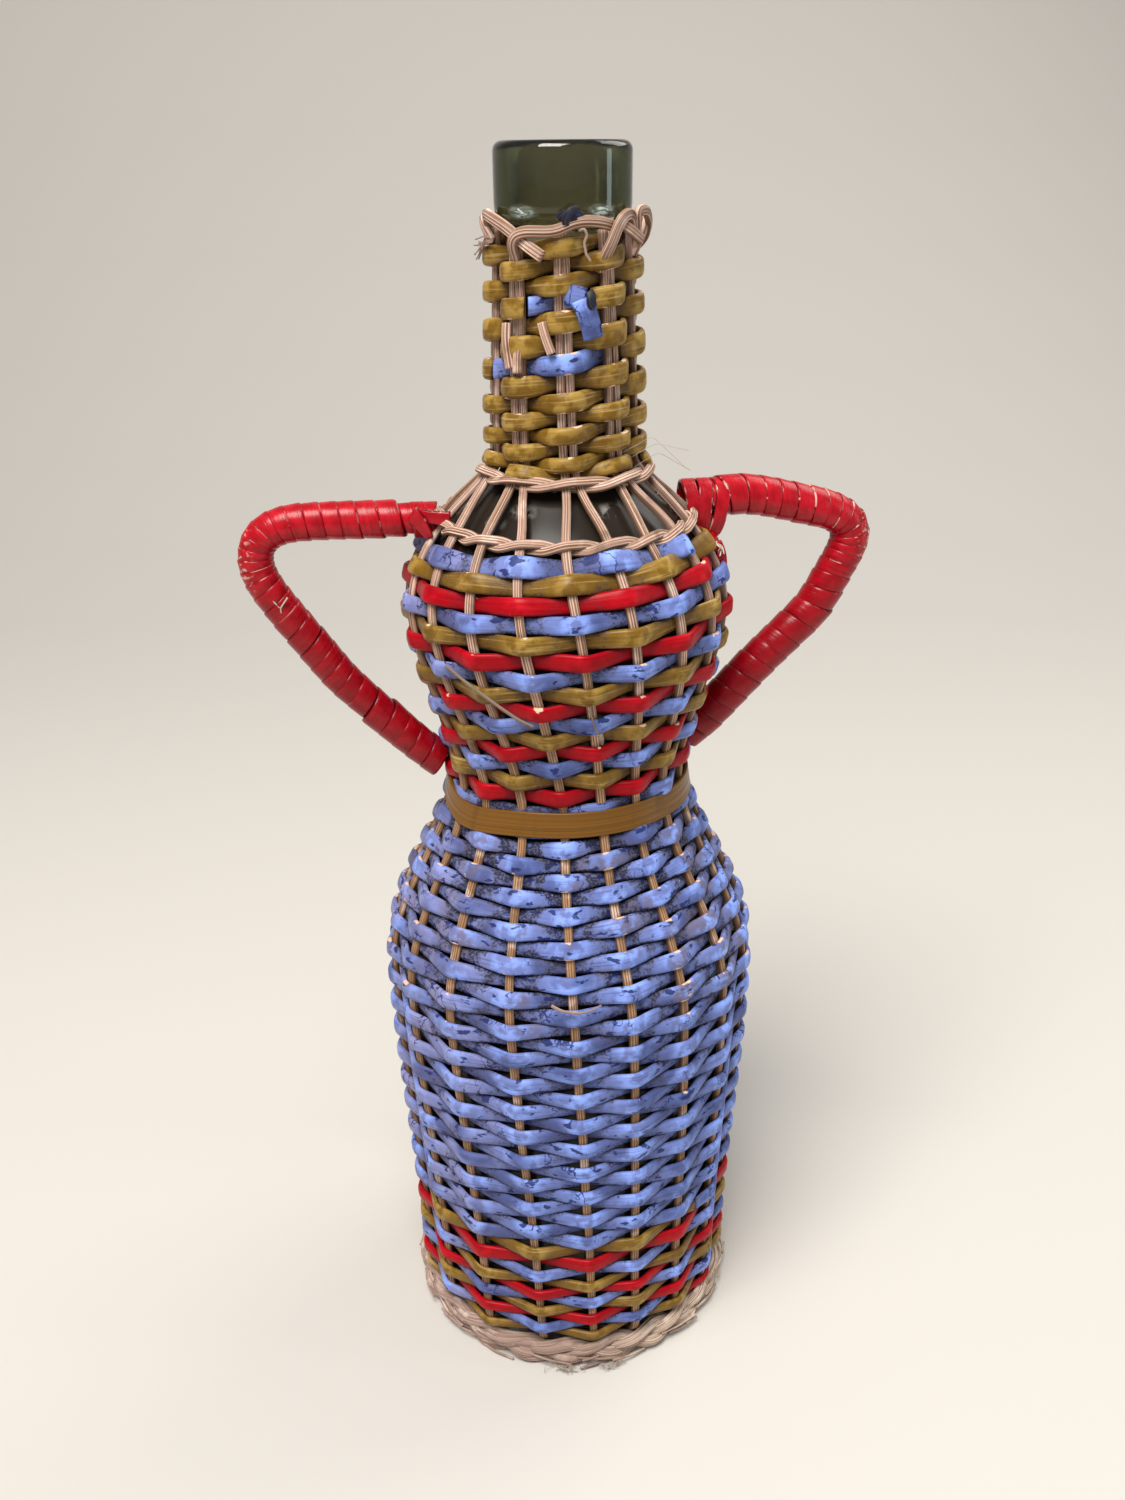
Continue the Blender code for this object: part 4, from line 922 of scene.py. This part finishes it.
def handle(side, azimuth, route, radius, turns, bend_at, slim, seed):
    """A bound handle along a route of radius and height. The wrap's turns are narrower at the bend, at
    distance bend_at; slim gives shares of the radius, as pairs of distance along the handle and share."""
    route = np.array(route)
    run = run_along(route)
    s = np.linspace(0, run[-1], 600)
    r, z = soften(read_at(s, run, route), 34).T
    centre = polar(r, azimuth, z)
    heading = heading_of(centre)
    level = polar(np.ones(len(s)), azimuth + 90.0, 0.0)
    normal = np.cross(level, heading)
    s = run_along(centre)

    def around(distance, turn, out):
        """Point round the handle; turn 0 is its outer or upper side."""
        here, up, ahead = (read_at(distance, s, values) for values in (centre, normal, heading))
        aside = unit(np.cross(ahead, up))
        return here + out[:, None] * (up * np.cos(turn)[:, None] + aside * np.sin(turn)[:, None])

    bare = slice(6, -12, 6)
    reed(f"handle_core_{side}_cane", centre[bare], normal[bare] * core_width, level[bare] * core_width,
         oval(16, 1.0), straw, [f"handle_core_{side}"], start=seed)
    turn = np.linspace(0, turns * math.tau, turns * points_a_turn)
    spots = np.linspace(0.0022, s[-1] - 0.0008, 500)
    closeness = 1 + 1.1 * np.exp(-((spots - bend_at) / 0.011) ** 2) + 0.2 * wander(spots, 0.006, seed)
    closeness = np.cumsum(closeness)
    wound = (closeness - closeness[0]) / (closeness[-1] - closeness[0])
    distance = np.interp(turn / turn[-1], wound, spots)
    ahead = np.append(distance[points_a_turn:], distance[-points_a_turn:] + 0.004)
    behind = np.append(distance[:points_a_turn] - 0.004, distance[:-points_a_turn])
    # The last turn closes in on the end of the core
    past = np.clip((distance - s[-1] + 0.0045) / 0.0048, 0, 1)
    closing = np.sqrt(np.clip(1 - past ** 2, 0.05, 1))
    places, shares = np.array(slim).T
    out = radius * np.interp(distance, places, shares) - 0.0004
    out = (out + 0.00008 * wander(turn / 100, 0.10, seed + 3)) * closing
    path = around(distance, turn, out)
    # The edge that lies on the turn before stands a little higher
    lap, overlap = 0.00014, 0.0002
    front = around((distance + ahead) / 2 + overlap, turn, out - lap)
    back = around((distance + behind) / 2 - overlap, turn, out + lap)
    sideways = front - back
    outwards = unit(np.cross(np.gradient(path, axis=0), sideways))
    reed(f"handle_wrap_{side}_reed", path, sideways, outwards * wrap_depth, wrap_section, red_wrap,
         [f"handle_wrap_{side}"], over=0.75, start=seed * 3.0)


def hoop(name, azimuth, r, z, half_width, half_height, slope, width, node, seed):
    """An upright turn of flat reed round a handle's end and the ring behind it."""
    turn = np.linspace(0, math.tau, 72, endpoint=False)
    aside = half_width * np.sin(turn)
    rise = half_width * np.cos(turn) + (half_height - half_width) * np.tanh(2.2 * np.cos(turn))
    heading = polar(1.0, azimuth, 0.0)
    level = polar(1.0, azimuth + 90, 0.0)
    path = (polar(r, azimuth, z) + level * aside[:, None] + np.array((0, 0, 1.0)) * rise[:, None]
            + heading * (slope * rise + 0.0003 * np.sin(turn * 2 + seed))[:, None])
    sideways = np.broadcast_to(heading * width, path.shape)
    reed(name, path, sideways, np.cross(heading_round(path), unit(sideways)) * 0.0010, wrap_section, red_wrap,
         [node], over=0.85, start=seed, closed=True)


def red_strip(name, points, width, depth, node, start, over, facing, taper=0.0):
    """A loose end of the red reed that binds the handles."""
    tail(name, points, width, depth, red_wrap, (node,), wrap_section, start=start, over=over,
         taper=taper, facing=facing)


left, right = -82.5, 101.5
handle("left", left,
       [(0.0333, 0.2372), (0.046, 0.2374), (0.058, 0.2376), (0.0680, 0.2374), (0.0738, 0.2352),
        (0.0762, 0.2310), (0.0762, 0.2262), (0.0740, 0.2213), (0.0697, 0.2145), (0.0575, 0.1967),
        (0.042, 0.1802), (0.0316, 0.1703)], radius=0.0045, turns=29, bend_at=0.045,
       slim=[(0, 0.80), (0.0066, 0.84), (0.0082, 1.0), (0.032, 0.97), (0.040, 0.93), (0.050, 0.93),
             (0.065, 0.99), (0.090, 0.95), (0.0945, 0.94), (0.0970, 1.08), (0.104, 1.01), (0.2, 1.0)], seed=6)
handle("right", right,
       [(0.0325, 0.2372), (0.042, 0.2396), (0.0508, 0.2386), (0.0706, 0.2335), (0.0758, 0.2296),
        (0.0756, 0.2246), (0.0667, 0.2079), (0.0506, 0.1927), (0.038, 0.1796), (0.0310, 0.1735)],
       radius=0.0050, turns=27, bend_at=0.046,
       slim=[(0, 0.9), (0.010, 1.0), (0.055, 0.95), (0.07, 1.0), (0.2, 0.97)], seed=8)
# Ties: three upright turns at the right, two crossed strips round the thinner end at the left
for number, r in enumerate((0.0318, 0.0345, 0.0382)):
    hoop(f"handle_tie_right_{number + 1}", right, r, 0.2362, half_width=0.0054, half_height=0.0074,
         slope=-0.10 + 0.12 * number, width=0.0036, node="handle_lashing_right", seed=2.0 * number)
hoop("handle_tie_left_1", left, 0.0358, 0.2369, half_width=0.0041, half_height=0.0041,
     slope=0.12, width=0.0036, node="handle_lashing_left", seed=3.1)
hoop("handle_tie_left_2", left, 0.0338, 0.2368, half_width=0.0041, half_height=0.0041,
     slope=-0.10, width=0.0034, node="handle_lashing_left", seed=5.3)
red_strip("handle_tie_left_end_1",
          [(-77.0, 0.0362, 0.2392), (-74.4, 0.0343, 0.2386), (-71.9, 0.0316, 0.2385),
           (-69.8, 0.0290, 0.2383)], 0.0028, 0.0009, "handle_lashing_left", 50, 0.8, -20, taper=-0.35)
red_strip("handle_tie_left_end_2",
          [(-77.5, 0.0384, 0.2394), (-76.1, 0.0372, 0.2386), (-74.8, 0.0362, 0.2370), (-74.1, 0.0349, 0.2352),
           (-73.7, 0.0340, 0.2331)], 0.0054, 0.0010, "handle_lashing_left", 53, 0.8, -25, taper=0.62)
# Two strokes of a scratch on the left leg that show the wood
for number, ends in enumerate((
        [(-79.4, 0.0731, 0.2199), (-79.0, 0.0711, 0.2174)],
        [(-78.7, 0.0690, 0.2203), (-79.0, 0.0711, 0.2174), (-79.0, 0.0709, 0.2160)])):
    tail(f"handle_scratch_{number + 1}", ends, 0.0006, 0.0004, fibre, ("handle_wrap_left",),
         round_straw, spacing=0.0004, reach=2, start=80 + number)

# Loose bits on the weave
# A splinter lies slantwise across the upper rows with a dry thread near it, a sliver is bare on a
# lower one, and a torn end of red stands at the right among fine grey fibres.
stem = grown("dry_stem", (0.30, 0.225, 0.175), (0.17, 0.12, 0.09), (0.06, 0.04, 0.03), 0.8)
tail("splinter",
     [(-45, 0.0408, 0.2080), (-33, 0.0424, 0.2057), (-22, 0.0419, 0.2011), (-16, 0.0410, 0.1980),
      (-11, 0.0398, 0.1960)], 0.0009, 0.0006, stem, ("upper_weaver_blue",), round_straw,
     start=61)
tail("dry_thread",
     [(6.5, 0.0406, 0.2018), (8.0, 0.0412, 0.1990), (8.8, 0.0404, 0.1962), (10.8, 0.0408, 0.1936)],
     0.0005, 0.0004, stem, ("upper_weaver_blue",), round_straw, start=62)
tail("dry_burr", [(10.6, 0.0402, 0.1944), (11.2, 0.0408, 0.1932), (11.4, 0.0402, 0.1918)],
     0.0015, 0.0014, stem, ("upper_weaver_blue",), round_straw, spacing=0.0003, reach=1,
     start=63, taper=0.5)
tail("bare_sliver",
     [(-5.5, 0.0505, 0.1264), (-2.5, 0.0515, 0.1255), (1.5, 0.0519, 0.1250), (4.5, 0.0518, 0.1252),
      (9.0, 0.0506, 0.1262)], 0.0010, 0.0005, straw, ("lower_weaver_blue_1",), round_straw,
     spacing=0.0005, reach=2, start=90, taper=0.5)
red_strip("torn_red_end",
          [(80.6, 0.0372, 0.2312), (81.0, 0.0384, 0.2290), (81.2, 0.0389, 0.2268), (81.0, 0.0390, 0.2243)],
          0.0026, 0.0008, "upper_weaver_red", 64, 0.9, 20)
for number in range(12):
    azimuth = 80.5 + dice.uniform(-2, 2)
    hair(f"grey_fibre_{number + 1:02d}",
         [(azimuth, 0.0370, 0.2308), (azimuth + dice.uniform(-3, 3), 0.0388, 0.2302),
          (azimuth + dice.uniform(-3, 3), dice.uniform(0.0372, 0.0396), dice.uniform(0.2276, 0.2292))],
         0.0004, fibre, "upper_weaver_red", 0.0005, 66 + number)
for number, (azimuth, height) in enumerate(((64, 0.2560), (70, 0.2535), (60, 0.2580))):
    hair(f"fine_fibre_{number + 1}",
         [(azimuth - 14, 0.0180, height - 0.0040), (azimuth, 0.0235, height),
          (azimuth + 8, 0.0310, height - 0.0030 * number - 0.0020)],
         0.00012, fibre, "neck_ring", 0.0006, 70 + number, reach=3)

# Floor and light
# A plain pale floor that curves up into a wall behind, under a soft sky, with one broad light above
# the camera, a weaker one behind and a small one at the right that glints on the glass.
half_wide, half_long, flat_to, bend_run = 4.0, 3.0, 0.6, 0.9
radius = bend_run / (math.pi / 2)
bm = bmesh.new()
bmesh.ops.create_grid(bm, x_segments=2, y_segments=48, size=1.0)
for vert in bm.verts:
    run = vert.co.y * half_long
    bend = min(max((run - flat_to) / bend_run, 0.0), 1.0) * math.pi / 2
    vert.co = (vert.co.x * half_wide, min(run, flat_to) + radius * math.sin(bend),
               radius * (1 - math.cos(bend)) + max(run - flat_to - bend_run, 0.0))
for face in bm.faces:
    face.smooth = True
mesh = bpy.data.meshes.new("floor")
bm.to_mesh(mesh)
bm.free()
mesh.materials.append(Finish("pale_floor").surface(Base_Color=(0.60, 0.57, 0.53), Roughness=0.9))
floor = bpy.data.objects.new("floor", mesh)
bpy.context.collection.objects.link(floor)

world = bpy.data.worlds.new("soft_sky")
world.use_nodes = True
world.node_tree.nodes["Background"].inputs["Color"].default_value = (0.95, 0.97, 1.0, 1.0)
world.node_tree.nodes["Background"].inputs["Strength"].default_value = 0.38
bpy.context.scene.world = world
middle = Vector((0, 0, 0.15))
for name, spot, width, height, power, tint in (
        ("broad_light", (-0.25, -0.50, 1.20), 0.6, 0.6, 20.5, (1.0, 0.97, 0.92)),
        ("back_light", (0.6, 0.45, 0.9), 0.6, 0.6, 4.0, (1.0, 0.97, 0.93)),
        ("side_light", (0.60, -0.10, 0.26), 0.10, 0.40, 0.45, (0.80, 1.0, 0.96))):
    lamp = bpy.data.objects.new(name, bpy.data.lights.new(name, "AREA"))
    lamp.data.shape = "RECTANGLE"
    lamp.data.size, lamp.data.size_y = width, height
    lamp.data.energy = power
    lamp.data.color = tint
    lamp.location = spot
    lamp.rotation_euler = (middle - Vector(spot)).to_track_quat("-Z", "Y").to_euler()
    bpy.context.collection.objects.link(lamp)
bpy.context.scene.view_settings.view_transform = "Standard"
